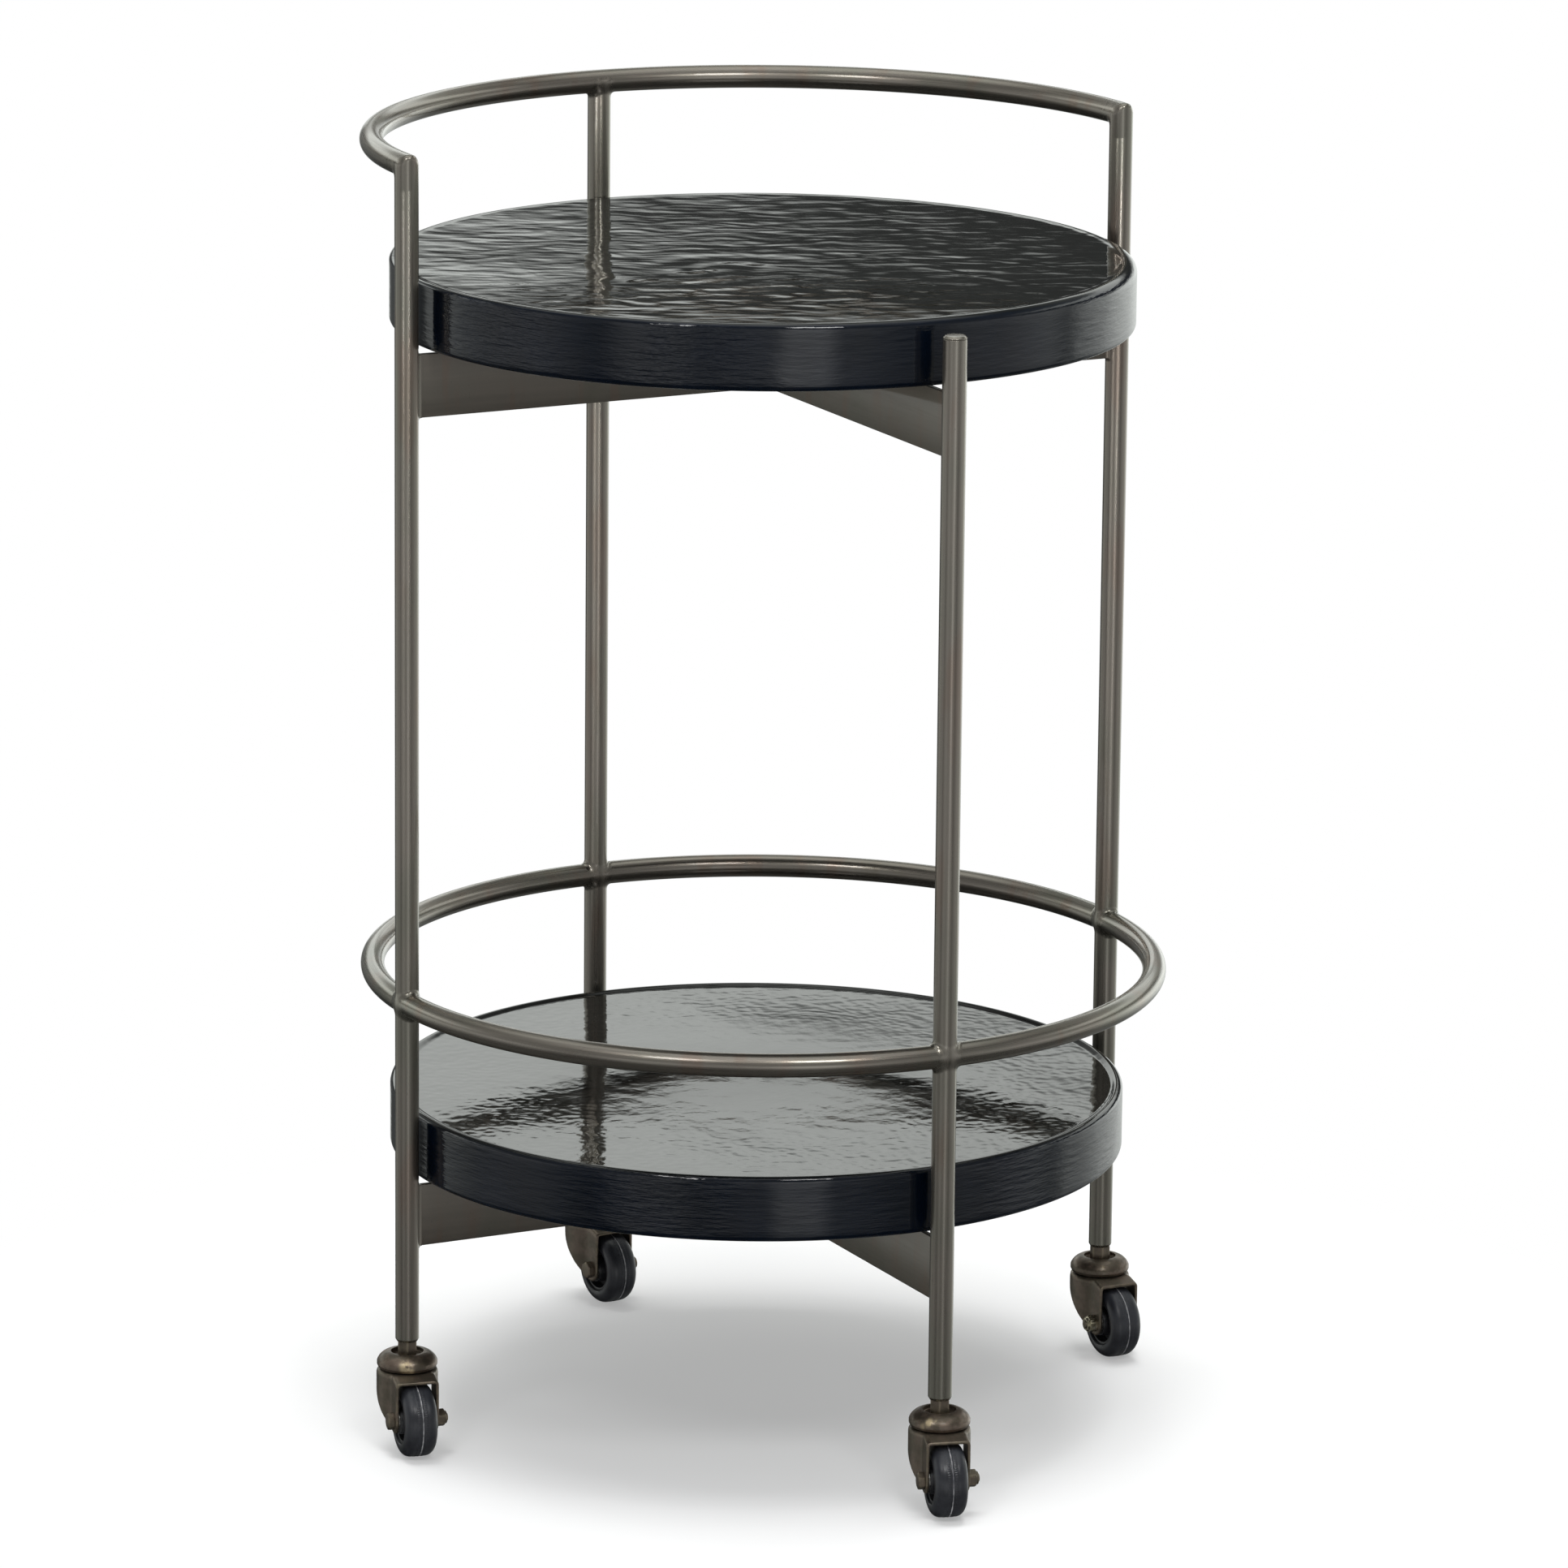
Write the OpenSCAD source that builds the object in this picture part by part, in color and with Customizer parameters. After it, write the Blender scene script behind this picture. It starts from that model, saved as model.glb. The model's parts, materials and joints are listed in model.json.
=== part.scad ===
// Round bar cart: a welded tube frame that carries two thick glass discs on flat-bar crosses
// and rolls on four swivel casters. The origin is on the floor, on the axis of the post circle.
// The short post is at -Y, which is the open front of the gallery rail.

/* [Frame] */
// Radius of the circle on which the four posts stand
post_circle_r = 250; // [240:1:265]
// Outer diameter of the frame tube
tube_d = 15; // [14:0.5:16]
// Wall thickness of the frame tube
tube_wall = 1.5; // [1.2:0.1:2]
// Height of the gallery rail's centreline above the floor
rail_z = 823; // [800:1:880]
// Height of the lower ring's centreline above the floor
ring_z = 291; // [270:1:340]
// Distance from the top of the upper glass down to the end of the short post
short_post_drop = 6.5; // [5:0.5:20]

/* [Crosses] */
// Depth of the flat bars, which stand on edge
bar_h = 40; // [30:1:45]
// Thickness of the flat bars
bar_t = 4; // [3:0.5:6]
// Height of the upper cross's top edge
upper_bar_top = 705; // [680:1:715]
// Height of the lower cross's top edge
lower_bar_top = 172; // [165:1:185]

/* [Glass] */
// Thickness of each glass disc
glass_t = 41.5; // [30:0.5:45]
// Radius of each glass disc
glass_r = 235; // [220:1:235]
// Radius of the round on the top rim
glass_rim_r = 4; // [3:0.5:8]
// Radius of the round on the bottom edge
glass_foot_r = 4; // [2:0.5:12]
// How far the loose upper glass lies to the right of the middle
upper_glass_x = -1.5; // [-5:0.1:5]
// How far the upper glass lies behind the middle
upper_glass_y = 6.5; // [-5:0.1:7]
// How far the loose lower glass lies to the right of the middle
lower_glass_x = -3.8; // [-5:0.1:5]
// How far the lower glass lies behind the middle
lower_glass_y = 0.8; // [-5:0.1:7]
// Thickness of the rubber bumpers under the glass
bumper_t = 1.5; // [1:0.5:3]

/* [Casters] */
// Height of the post ends, where the caster stems start
leg_end_z = 70; // [69.5:0.1:71]
// Horizontal distance from the swivel axis to the wheel's axle
trail = 19; // [17:0.5:20]
// Outer diameter of the wheel
wheel_d = 47; // [44:0.5:48]
// Width of the tyre
tyre_w = 21; // [18:0.5:21]
// Direction that the left caster trails, counted anticlockwise from +X
heading_left = -100; // [-180:1:180]
// Direction that the front caster trails
heading_front = -105; // [-180:1:180]
// Direction that the right caster trails
heading_right = -90; // [-180:1:180]
// Direction that the back caster trails
heading_back = -85; // [-180:1:180]

/* [Hidden] */
$fn = 96;
EPS = 0.01;
tube_r = tube_d / 2;
bore_r = tube_r - tube_wall;

SIDES = ["left", "front", "right", "back"];
SIDE_ANGLE = [180, 270, 0, 90];
HEADING = [heading_left, heading_front, heading_right, heading_back];
NUT_ON_LEFT = [true, true, false, true];

glass_seat_upper = upper_bar_top + bumper_t;
glass_seat_lower = lower_bar_top + bumper_t;
short_post_end = glass_seat_upper + glass_t - short_post_drop;
end_disc_t = 2;
end_disc_chamfer = 0.8;
bumper_r = 185;
bumper_l = 8;
lap_clearance = 0.1;
insert_l = 22;

axle_z = wheel_d / 2;
wheel_r = wheel_d / 2;
sheet_t = 2;
crown_top = 52.6;
crown_r = 19.5;
crown_boss_r = 16.4;
crown_boss_h = 1.5;
fork_w = 28;
fork_front = 27;
fork_back = -9;
fork_neck = [1, 46];
crown_fall_start = 18;
crown_fall = 2.5;
axle_boss_r = 8;
fork_gap = fork_w - 2 * sheet_t;
running_gap = 0.05;

ball_d = 5;
ball_count = 12;
ball_circle_r = 12.5;
ball_z = crown_top + crown_boss_h + running_gap + ball_d / 2;
race_ceiling = ball_z + ball_d / 2 + running_gap;
race_floor_t = 1.5;
cap_r = 19.2;
cap_dome_r = 9;
cap_dome_x = 10.7;
cap_dome_z = crown_top + 1.8;
cap_lip_z = crown_top + 0.9;
cap_side_z = crown_top + 2.6;
cap_recess_r = 10.4;

kingpin_r = 5;
shank_r = 4.9;
shank_l = 20;
neck_af = 11.5;
head_r = 8.5;
head_t = 2.8;
head_play = 0.3;

axle_r = 3;
axle_hole_r = 3.1;
sleeve_r = 4.5;
hub_bore_r = sleeve_r + running_gap;
hub_r = 8.5;
hub_half_w = 11.1;
washer_t = 0.8;
washer_r = 7.5;
rim_r = 15;
rim_t = 2.5;
rim_inset = 1.5;
web_t = 5;
hex_af = 10;
head_h = 4;
nut_h = 5;
nut_collar_h = 1.5;
thread_out = 0.8;
tyre_shoulder_r = 6;
mould_line_h = 0.2;
mould_line_w = 1.2;

// Frame and glass nodes first, then each caster's own nodes with the caster's side in front.
CASTER_PIECES = ["stem", "race_cap", "fork", "axle_bolt", "axle_nut", "axle_sleeve",
                 "thrust_washers", "wheel_core", "tyre"];

METAL = [0.33, 0.31, 0.27];
BRONZE = [0.36, 0.30, 0.23];
STEEL = [0.62, 0.61, 0.58];
GLASS = [0.04, 0.05, 0.07];
RUBBER = [0.10, 0.10, 0.12];
PLASTIC = [0.16, 0.16, 0.18];

// ---------- helpers ----------

// Places children at one post, on the circle.
module at_post(i) {
    rotate([0, 0, SIDE_ANGLE[i]]) translate([post_circle_r, 0, 0]) children();
}

// Places children in a caster's frame: the swivel axis is Z and the wheel trails along +X.
module at_caster(i) {
    rotate([0, 0, SIDE_ANGLE[i]])
        translate([post_circle_r, 0, 0])
            rotate([0, 0, HEADING[i] - SIDE_ANGLE[i]])
                children();
}

// Places children on a caster's axle, with the axle along Z and the nut's end at +Z.
module on_axle(i) {
    at_caster(i)
        translate([trail, 0, axle_z])
            rotate([NUT_ON_LEFT[i] ? -90 : 90, 0, 0])
                children();
}

module tube(length) {
    difference() {
        cylinder(r = tube_r, h = length);
        translate([0, 0, -1]) cylinder(r = bore_r, h = length + 2);
    }
}

module ring_solid(r) {
    rotate_extrude($fn = 180) translate([post_circle_r, 0]) circle(r = r);
}

module hexagon(across_flats, height) {
    cylinder(d = across_flats / cos(30), h = height, $fn = 6);
}

// ---------- frame tubes ----------

// Half space on the post's side of the mitre at the end of the gallery rail.
// The rail leaves its two end posts along +Y.
module mitre_side(i, above) {
    size = 4 * tube_d;
    centre = SIDE_ANGLE[i] == 180 ? -post_circle_r : post_circle_r;
    translate([centre, 0, rail_z])
        rotate([-45, 0, 0])
            translate([-size / 2, -size / 2, above ? 0 : -size])
                cube(size);
}

// Tall end post: coped on the lower ring, mitred to the gallery rail.
module end_post(i) {
    color(METAL) difference() {
        at_post(i) translate([0, 0, ring_z]) tube(rail_z - ring_z + tube_d);
        translate([0, 0, ring_z]) ring_solid(tube_r);
        mitre_side(i, true);
    }
}

// Tall middle post: coped on the lower ring and under the gallery rail.
module middle_post(i) {
    color(METAL) difference() {
        at_post(i) translate([0, 0, ring_z]) tube(rail_z - ring_z);
        translate([0, 0, ring_z]) ring_solid(tube_r);
        translate([0, 0, rail_z]) ring_solid(tube_r);
    }
}

// Short post: coped on the lower ring, closed on top by a welded disc.
module short_post(i) {
    color(METAL) difference() {
        at_post(i) translate([0, 0, ring_z]) tube(short_post_end - end_disc_t - ring_z);
        translate([0, 0, ring_z]) ring_solid(tube_r);
    }
}

module short_post_disc(i) {
    color(METAL) at_post(i) translate([0, 0, short_post_end - end_disc_t])
        rotate_extrude()
            polygon([[0, 0], [tube_r, 0], [tube_r, end_disc_t - end_disc_chamfer],
                     [tube_r - end_disc_chamfer, end_disc_t], [0, end_disc_t]]);
}

// Leg: from the lower ring down to the caster.
module leg(i) {
    color(METAL) difference() {
        at_post(i) translate([0, 0, leg_end_z]) tube(ring_z - leg_end_z);
        translate([0, 0, ring_z]) ring_solid(tube_r);
    }
}

module lower_ring() {
    color(METAL) translate([0, 0, ring_z]) difference() {
        ring_solid(tube_r);
        ring_solid(bore_r);
    }
}

// Half ring with a straight stub at each end, cut at 45 degrees where it meets the end posts.
module gallery_rail() {
    color(METAL) difference() {
        rail_bar(tube_r);
        rail_bar(bore_r);
        mitre_side(0, false);
        mitre_side(2, false);
    }
}

module rail_bar(r) {
    translate([0, 0, rail_z]) {
        rotate_extrude(angle = 180, $fn = 180) translate([post_circle_r, 0]) circle(r = r);
        for (x = [-post_circle_r, post_circle_r])
            translate([x, EPS, 0]) rotate([90, 0, 0]) cylinder(r = r, h = tube_d);
    }
}

// ---------- crosses ----------

// One bar of a cross along X, coped to the tubes at both ends and half lapped at the middle.
module cross_bar(top_z, notch_up) {
    notch_w = bar_t + 2 * lap_clearance;
    notch_h = bar_h / 2 + lap_clearance;
    color(METAL) difference() {
        translate([-post_circle_r, -bar_t / 2, top_z - bar_h])
            cube([2 * post_circle_r, bar_t, bar_h]);
        for (x = [-post_circle_r, post_circle_r])
            translate([x, 0, top_z - bar_h - 1]) cylinder(r = tube_r, h = bar_h + 2);
        translate([-notch_w / 2, -bar_t, notch_up ? top_z - notch_h : top_z - bar_h - 1])
            cube([notch_w, 2 * bar_t, notch_h + 1]);
    }
}

module bumpers(top_z) {
    color(RUBBER) for (a = SIDE_ANGLE)
        rotate([0, 0, a])
            translate([bumper_r - bumper_l / 2, -bar_t / 2, top_z])
                cube([bumper_l, bar_t, bumper_t]);
}

// Threaded inserts pressed into the ends of the legs.
module thread_inserts() {
    color(STEEL) for (i = [0 : 3])
        at_post(i) translate([0, 0, leg_end_z]) difference() {
            cylinder(r = bore_r, h = insert_l);
            translate([0, 0, -1]) cylinder(r = kingpin_r, h = insert_l + 2);
        }
}

// ---------- glass ----------

module glass_section() {
    side_h = glass_t - glass_rim_r - glass_foot_r;
    square([glass_r - glass_foot_r, glass_foot_r + EPS]);
    translate([0, glass_foot_r]) square([glass_r, side_h]);
    translate([0, glass_foot_r]) square([glass_r - glass_rim_r, glass_t - glass_foot_r]);
    translate([glass_r - glass_foot_r, glass_foot_r]) circle(r = glass_foot_r);
    translate([glass_r - glass_rim_r, glass_t - glass_rim_r]) circle(r = glass_rim_r);
}

module glass_disc(x, y, seat_z) {
    color(GLASS) translate([x, y, seat_z]) rotate_extrude($fn = 180) glass_section();
}

// ---------- casters ----------

// Threaded shank, hexagon neck, kingpin and riveted head, in one piece.
module stem(i) {
    floor_z = race_ceiling + race_floor_t;
    head_top = crown_top + crown_boss_h - sheet_t - head_play;
    color(BRONZE) at_caster(i) {
        translate([0, 0, leg_end_z]) cylinder(r = shank_r, h = shank_l);
        translate([0, 0, floor_z]) hexagon(neck_af, leg_end_z - floor_z);
        translate([0, 0, head_top - EPS]) cylinder(r = kingpin_r, h = floor_z - head_top + 2 * EPS);
        translate([0, 0, head_top - head_t]) cylinder(r = head_r, h = head_t);
    }
}

module cap_section() {
    ceiling_inner_r = 15.6;
    wall_inner_r = 17.2;
    lip_r = 18.3;
    ceiling_bevel_h = 2;
    difference() {
        intersection() {
            translate([cap_dome_x, cap_dome_z]) circle(r = cap_dome_r);
            polygon([[kingpin_r, cap_lip_z], [lip_r, cap_lip_z], [cap_r, cap_side_z],
                     [cap_r, cap_side_z + cap_r], [kingpin_r, cap_side_z + cap_r]]);
        }
        translate([0, race_ceiling + race_floor_t]) square([cap_recess_r, cap_dome_r]);
        polygon([[0, 0], [wall_inner_r, 0], [wall_inner_r, race_ceiling - ceiling_bevel_h],
                 [ceiling_inner_r, race_ceiling], [0, race_ceiling]]);
    }
}

module race_cap(i) {
    color(BRONZE) at_caster(i) rotate_extrude() cap_section();
}

module bearing_balls() {
    color(STEEL) for (i = [0 : 3])
        at_caster(i)
            for (b = [0 : ball_count - 1])
                rotate([0, 0, b * 360 / ball_count])
                    translate([ball_circle_r, 0, ball_z]) sphere(d = ball_d, $fn = 36);
}

// Plan of the fork: the round crown joined to a straight front part.
module fork_plan(inset, front) {
    circle(r = crown_r - inset);
    translate([0, -fork_w / 2 + inset]) square([front, fork_w - 2 * inset]);
}

// Side view of all that is under the crown's top face, or under that face lowered by drop.
// The face is level over the race and falls towards the front edge.
module below_crown(drop) {
    front = fork_front + 1;
    front_fall = crown_fall * (front - crown_fall_start) / (fork_front - crown_fall_start);
    back = -crown_r - 1;
    polygon([[back, -1], [front, -1], [front, crown_top - drop - front_fall],
             [crown_fall_start, crown_top - drop], [back, crown_top - drop]]);
}

// Stretches a side view over the whole width of the fork.
module across_fork() {
    rotate([90, 0, 0]) translate([0, 0, -crown_r - 1]) linear_extrude(2 * crown_r + 2) children();
}

// Side view of the fork: X forward, Y up, from the crown down to the round axle boss.
module side_profile() {
    neck = fork_neck;
    neck_r = neck[0] - fork_back;
    boss = [trail, axle_z];
    boss_r = min(axle_boss_r, fork_front - trail);
    gap = boss - neck;
    lean = atan2(gap[1], gap[0]);
    spread = acos((neck_r - boss_r) / norm(gap));
    // the straight flanks start just inside the two circles, so that they never touch in a line
    flank = 0.99;
    tangents = [for (s = [-1, 1]) flank * [cos(lean + s * spread), sin(lean + s * spread)]];
    translate(neck) circle(r = neck_r);
    translate(boss) circle(r = boss_r);
    polygon([neck + neck_r * tangents[0], neck + neck_r * tangents[1],
             boss + boss_r * tangents[1], boss + boss_r * tangents[0]]);
    translate([fork_back, neck[1]]) square([fork_front - fork_back, crown_top - neck[1]]);
    polygon([neck, boss, [fork_front, boss[1]], [fork_front, crown_top], [neck[0], crown_top]]);
    translate([-crown_r - 1, crown_top - sheet_t]) square([crown_r + fork_front + 1, sheet_t]);
}

module fork(i) {
    color(BRONZE) at_caster(i) difference() {
        union() {
            // sheet shell: the plan cut to the side view and hollowed from below
            difference() {
                intersection() {
                    linear_extrude(crown_top) fork_plan(0, fork_front);
                    across_fork() intersection() {
                        side_profile();
                        below_crown(0);
                    }
                }
                intersection() {
                    translate([0, 0, -1]) linear_extrude(crown_top) fork_plan(sheet_t, fork_front + 1);
                    across_fork() below_crown(sheet_t);
                }
            }
            // pressed-up race seat in the crown
            translate([0, 0, crown_top - sheet_t / 2])
                cylinder(r = crown_boss_r, h = sheet_t / 2 + crown_boss_h);
        }
        // hollow under the race seat
        translate([0, 0, crown_top - 2 * sheet_t])
            cylinder(r = crown_boss_r - sheet_t, h = sheet_t + crown_boss_h);
        // kingpin bore
        cylinder(r = kingpin_r + running_gap, h = 2 * crown_top);
        // axle holes
        translate([trail, 0, axle_z]) rotate([90, 0, 0])
            cylinder(r = axle_hole_r, h = 2 * crown_r, center = true);
    }
}

module axle_bolt(i) {
    tip = fork_w / 2 + nut_h + nut_collar_h + thread_out;
    color(BRONZE) on_axle(i) {
        translate([0, 0, -fork_w / 2 - EPS]) cylinder(r = axle_r, h = tip + fork_w / 2 + EPS);
        translate([0, 0, -fork_w / 2 - head_h]) hexagon(hex_af, head_h);
    }
}

module axle_nut(i) {
    collar_r = 4.2;
    color(BRONZE) on_axle(i) translate([0, 0, fork_w / 2]) difference() {
        union() {
            hexagon(hex_af, nut_h);
            cylinder(r = collar_r, h = nut_h + nut_collar_h);
        }
        translate([0, 0, -1]) cylinder(r = axle_r, h = nut_h + nut_collar_h + 2);
    }
}

module axle_sleeve(i) {
    color(STEEL) on_axle(i) difference() {
        cylinder(r = sleeve_r, h = fork_gap, center = true);
        cylinder(r = axle_hole_r, h = fork_gap + 2, center = true);
    }
}

module thrust_washers(i) {
    color(STEEL) on_axle(i) for (s = [-1, 1])
        translate([0, 0, s * (fork_gap - washer_t) / 2]) difference() {
            cylinder(r = washer_r, h = washer_t, center = true);
            cylinder(r = sleeve_r, h = washer_t + 2, center = true);
        }
}

// Hub, web and rim, turned about the axle.
module wheel_core(i) {
    rim_w = tyre_w - 2 * rim_inset;
    web_r = rim_r - rim_t;
    color(PLASTIC) on_axle(i) rotate_extrude() {
        translate([hub_bore_r, -hub_half_w]) square([hub_r - hub_bore_r, 2 * hub_half_w]);
        translate([hub_bore_r, -web_t / 2]) square([rim_r - hub_bore_r, web_t]);
        translate([web_r, -rim_w / 2]) square([rim_r - web_r, rim_w]);
    }
}

module tyre_section() {
    tread_r = wheel_r - mould_line_h;
    half_w = tyre_w / 2;
    translate([rim_r, -half_w]) square([tread_r - tyre_shoulder_r - rim_r, tyre_w]);
    translate([rim_r, -half_w + tyre_shoulder_r])
        square([tread_r - rim_r, tyre_w - 2 * tyre_shoulder_r]);
    for (s = [-1, 1])
        translate([tread_r - tyre_shoulder_r, s * (half_w - tyre_shoulder_r)])
            intersection() {
                circle(r = tyre_shoulder_r);
                translate([-EPS, -tyre_shoulder_r]) square([tyre_shoulder_r + EPS, 2 * tyre_shoulder_r]);
            }
    translate([rim_r, -mould_line_w / 2]) square([wheel_r - rim_r, mould_line_w]);
}

module tyre(i) {
    color(RUBBER) on_axle(i) rotate_extrude($fn = 120) tyre_section();
}

// ---------- nodes ----------

end_post(0);  // left_post
short_post(1);  // front_post
end_post(2);  // right_post
middle_post(3);  // back_post
short_post_disc(1);  // front_post_disc
gallery_rail();
lower_ring();
rotate([0, 0, 90]) cross_bar(upper_bar_top, true);  // upper_bar_front_back
cross_bar(upper_bar_top, false);  // upper_bar_left_right
rotate([0, 0, 90]) cross_bar(lower_bar_top, true);  // lower_bar_front_back
cross_bar(lower_bar_top, false);  // lower_bar_left_right
thread_inserts();
glass_disc(upper_glass_x, upper_glass_y, glass_seat_upper);  // upper_glass
glass_disc(lower_glass_x, lower_glass_y, glass_seat_lower);  // lower_glass
bumpers(upper_bar_top);  // upper_bumpers
bumpers(lower_bar_top);  // lower_bumpers
bearing_balls();

for (i = [0 : 3]) {
    caster = str(SIDES[i], "_caster_");
    leg(i);
    stem(i);
    race_cap(i);
    fork(i);
    axle_bolt(i);
    axle_nut(i);
    axle_sleeve(i);
    thrust_washers(i);
    wheel_core(i);
    tyre(i);
}
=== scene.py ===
"""Looks of the round bar cart: a bronze tube frame, two cast-glass shelves and four casters.

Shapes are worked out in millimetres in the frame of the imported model, whose origin is on the
floor, on the axis of the circle of posts, with +Z up and the short post at -Y. They become
metres when a piece is made.
"""
import json
import math

import bmesh
import bpy
import numpy as np
from mathutils import Matrix, Vector

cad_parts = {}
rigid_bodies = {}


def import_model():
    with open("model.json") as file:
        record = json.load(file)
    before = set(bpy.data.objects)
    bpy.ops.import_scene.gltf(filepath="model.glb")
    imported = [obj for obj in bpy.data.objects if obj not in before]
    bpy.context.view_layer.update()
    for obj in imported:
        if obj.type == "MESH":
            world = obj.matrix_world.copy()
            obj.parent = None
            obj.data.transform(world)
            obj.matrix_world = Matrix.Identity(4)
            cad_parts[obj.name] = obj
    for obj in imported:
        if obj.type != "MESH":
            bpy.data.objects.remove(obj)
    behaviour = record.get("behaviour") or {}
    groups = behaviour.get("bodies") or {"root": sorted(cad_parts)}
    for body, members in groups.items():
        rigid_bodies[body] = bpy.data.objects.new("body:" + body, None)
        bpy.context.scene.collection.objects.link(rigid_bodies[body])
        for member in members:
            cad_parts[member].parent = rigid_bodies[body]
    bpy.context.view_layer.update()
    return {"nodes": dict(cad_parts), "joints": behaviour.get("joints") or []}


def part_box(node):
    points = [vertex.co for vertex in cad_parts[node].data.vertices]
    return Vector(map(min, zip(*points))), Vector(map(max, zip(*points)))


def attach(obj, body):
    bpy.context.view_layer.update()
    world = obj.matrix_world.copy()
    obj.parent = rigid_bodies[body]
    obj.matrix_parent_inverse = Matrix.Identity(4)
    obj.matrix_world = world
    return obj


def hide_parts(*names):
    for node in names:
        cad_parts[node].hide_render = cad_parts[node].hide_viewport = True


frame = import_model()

MM = 0.001
SIDES = ("left", "front", "right", "back")


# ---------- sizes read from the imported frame, in millimetres ----------

def node_box(node):
    low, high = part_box(node)
    return np.array(low) / MM, np.array(high) / MM


def middle(node):
    low, high = node_box(node)
    return (low + high) / 2


LEG_LOW, LEG_HIGH = node_box("right_leg")
TUBE_R = (LEG_HIGH[0] - LEG_LOW[0]) / 2
POST_CIRCLE_R = middle("right_leg")[0]
LEG_END_Z = LEG_LOW[2]
RING_Z = middle("lower_ring")[2]
RAIL_Z = middle("gallery_rail")[2]
SHORT_POST_TOP = node_box("front_post_disc")[1][2]
POST_XY = {side: POST_CIRCLE_R * np.array(way) for side, way in
           zip(SIDES, ((-1.0, 0.0), (0.0, -1.0), (1.0, 0.0), (0.0, 1.0)))}
GLASS_R = (node_box("upper_glass")[1][0] - node_box("upper_glass")[0][0]) / 2
BAR_T = node_box("upper_bar_left_right")[1][1] * 2
JOINT_PLACE = {joint["name"]: np.array(joint["pos_m"]) / MM for joint in frame["joints"]}


# ---------- numbers with a smooth, seeded variation ----------

def smooth(value, low, high):
    """0 below low, 1 above high, with a soft turn at both."""
    t = np.clip((value - low) / (high - low), 0, 1)
    return t * t * (3 - 2 * t)


def soft_max(a, b, radius):
    """The larger of two distances, with the corner between them rounded."""
    lap = np.maximum(radius - np.abs(a - b), 0) / radius
    return np.maximum(a, b) + lap * lap * radius / 4


def soft_min(a, b, radius):
    return -soft_max(-a, -b, radius)


def ripple(x, y, wave, seed):
    """Gradient noise of about that wavelength, from -1 to 1."""
    spin = np.random.default_rng(seed).uniform(0, 2 * math.pi, (256, 256))
    gx, gy = np.cos(spin), np.sin(spin)
    u, v = x / wave, y / wave
    i, j = np.floor(u).astype(int), np.floor(v).astype(int)
    fu, fv = u - i, v - j
    su, sv = (f * f * f * (f * (6 * f - 15) + 10) for f in (fu, fv))

    def corner(a, b):
        k = ((i + a) % 256, (j + b) % 256)
        return gx[k] * (fu - a) + gy[k] * (fv - b)

    low = corner(0, 0) * (1 - su) + corner(1, 0) * su
    high = corner(0, 1) * (1 - su) + corner(1, 1) * su
    return (low * (1 - sv) + high * sv) * 1.5


# ---------- mesh building ----------

def loft(rings, closed=False):
    """Skin over rings of equal length. An open loft is capped at both ends."""
    rings = np.asarray(rings, float)
    count, around = rings.shape[:2]
    corners = np.arange(count * around).reshape(count, around)
    if closed:
        corners = np.vstack([corners, corners[:1]])
    turned = np.roll(corners, -1, axis=1)
    faces = np.stack([corners[:-1], turned[:-1], turned[1:], corners[1:]], axis=-1)
    faces = faces.reshape(-1, 4).tolist()
    if not closed:
        faces += [corners[0][::-1].tolist(), corners[-1].tolist()]
    return rings.reshape(-1, 3), faces


def circles(outline, segments, wobble=None):
    """Rings about Z, one for each (radius, height) of an outline."""
    angle = np.linspace(0, 2 * math.pi, segments, endpoint=False)
    rings = []
    for radius, height in outline:
        r = np.full(segments, float(radius))
        z = np.full(segments, float(height))
        if wobble is not None:
            r, z = wobble(r, z, angle)
        rings.append(np.stack([r * np.cos(angle), r * np.sin(angle), z], axis=-1))
    return rings


def turned_ring(outline, segments, wobble=None):
    """A closed outline of (radius, height) turned about Z."""
    return loft(circles(outline, segments, wobble), closed=True)


def turned(outline, segments, wobble=None):
    """A solid with an outline from its bottom to its top turned about Z."""
    return loft(circles(outline, segments, wobble))


def rounded(points, radii, steps=5, closed=True):
    """A 2D outline with its corners rounded to the given radii."""
    points = [np.array(p, float) for p in points]
    out = []
    for i, corner in enumerate(points):
        radius = radii[i] if hasattr(radii, "__len__") else radii
        if radius <= 0 or (not closed and i in (0, len(points) - 1)):
            out.append(corner)
            continue
        to_a, to_b = points[i - 1] - corner, points[(i + 1) % len(points)] - corner
        len_a, len_b = np.linalg.norm(to_a), np.linalg.norm(to_b)
        to_a, to_b = to_a / len_a, to_b / len_b
        half = math.acos(float(np.clip(to_a @ to_b, -1, 1))) / 2
        if half > math.pi / 2 - 0.02:
            out.append(corner)
            continue
        reach = min(radius / math.tan(half), 0.49 * len_a, 0.49 * len_b)
        radius = reach * math.tan(half)
        centre = corner + (to_a + to_b) / np.linalg.norm(to_a + to_b) * radius / math.sin(half)
        start, end = corner + to_a * reach - centre, corner + to_b * reach - centre
        sweep = math.atan2(start[0] * end[1] - start[1] * end[0], float(start @ end))
        for k in range(steps + 1):
            a = sweep * k / steps
            out.append(centre + np.array([start[0] * math.cos(a) - start[1] * math.sin(a),
                                          start[0] * math.sin(a) + start[1] * math.cos(a)]))
    return out


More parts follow.
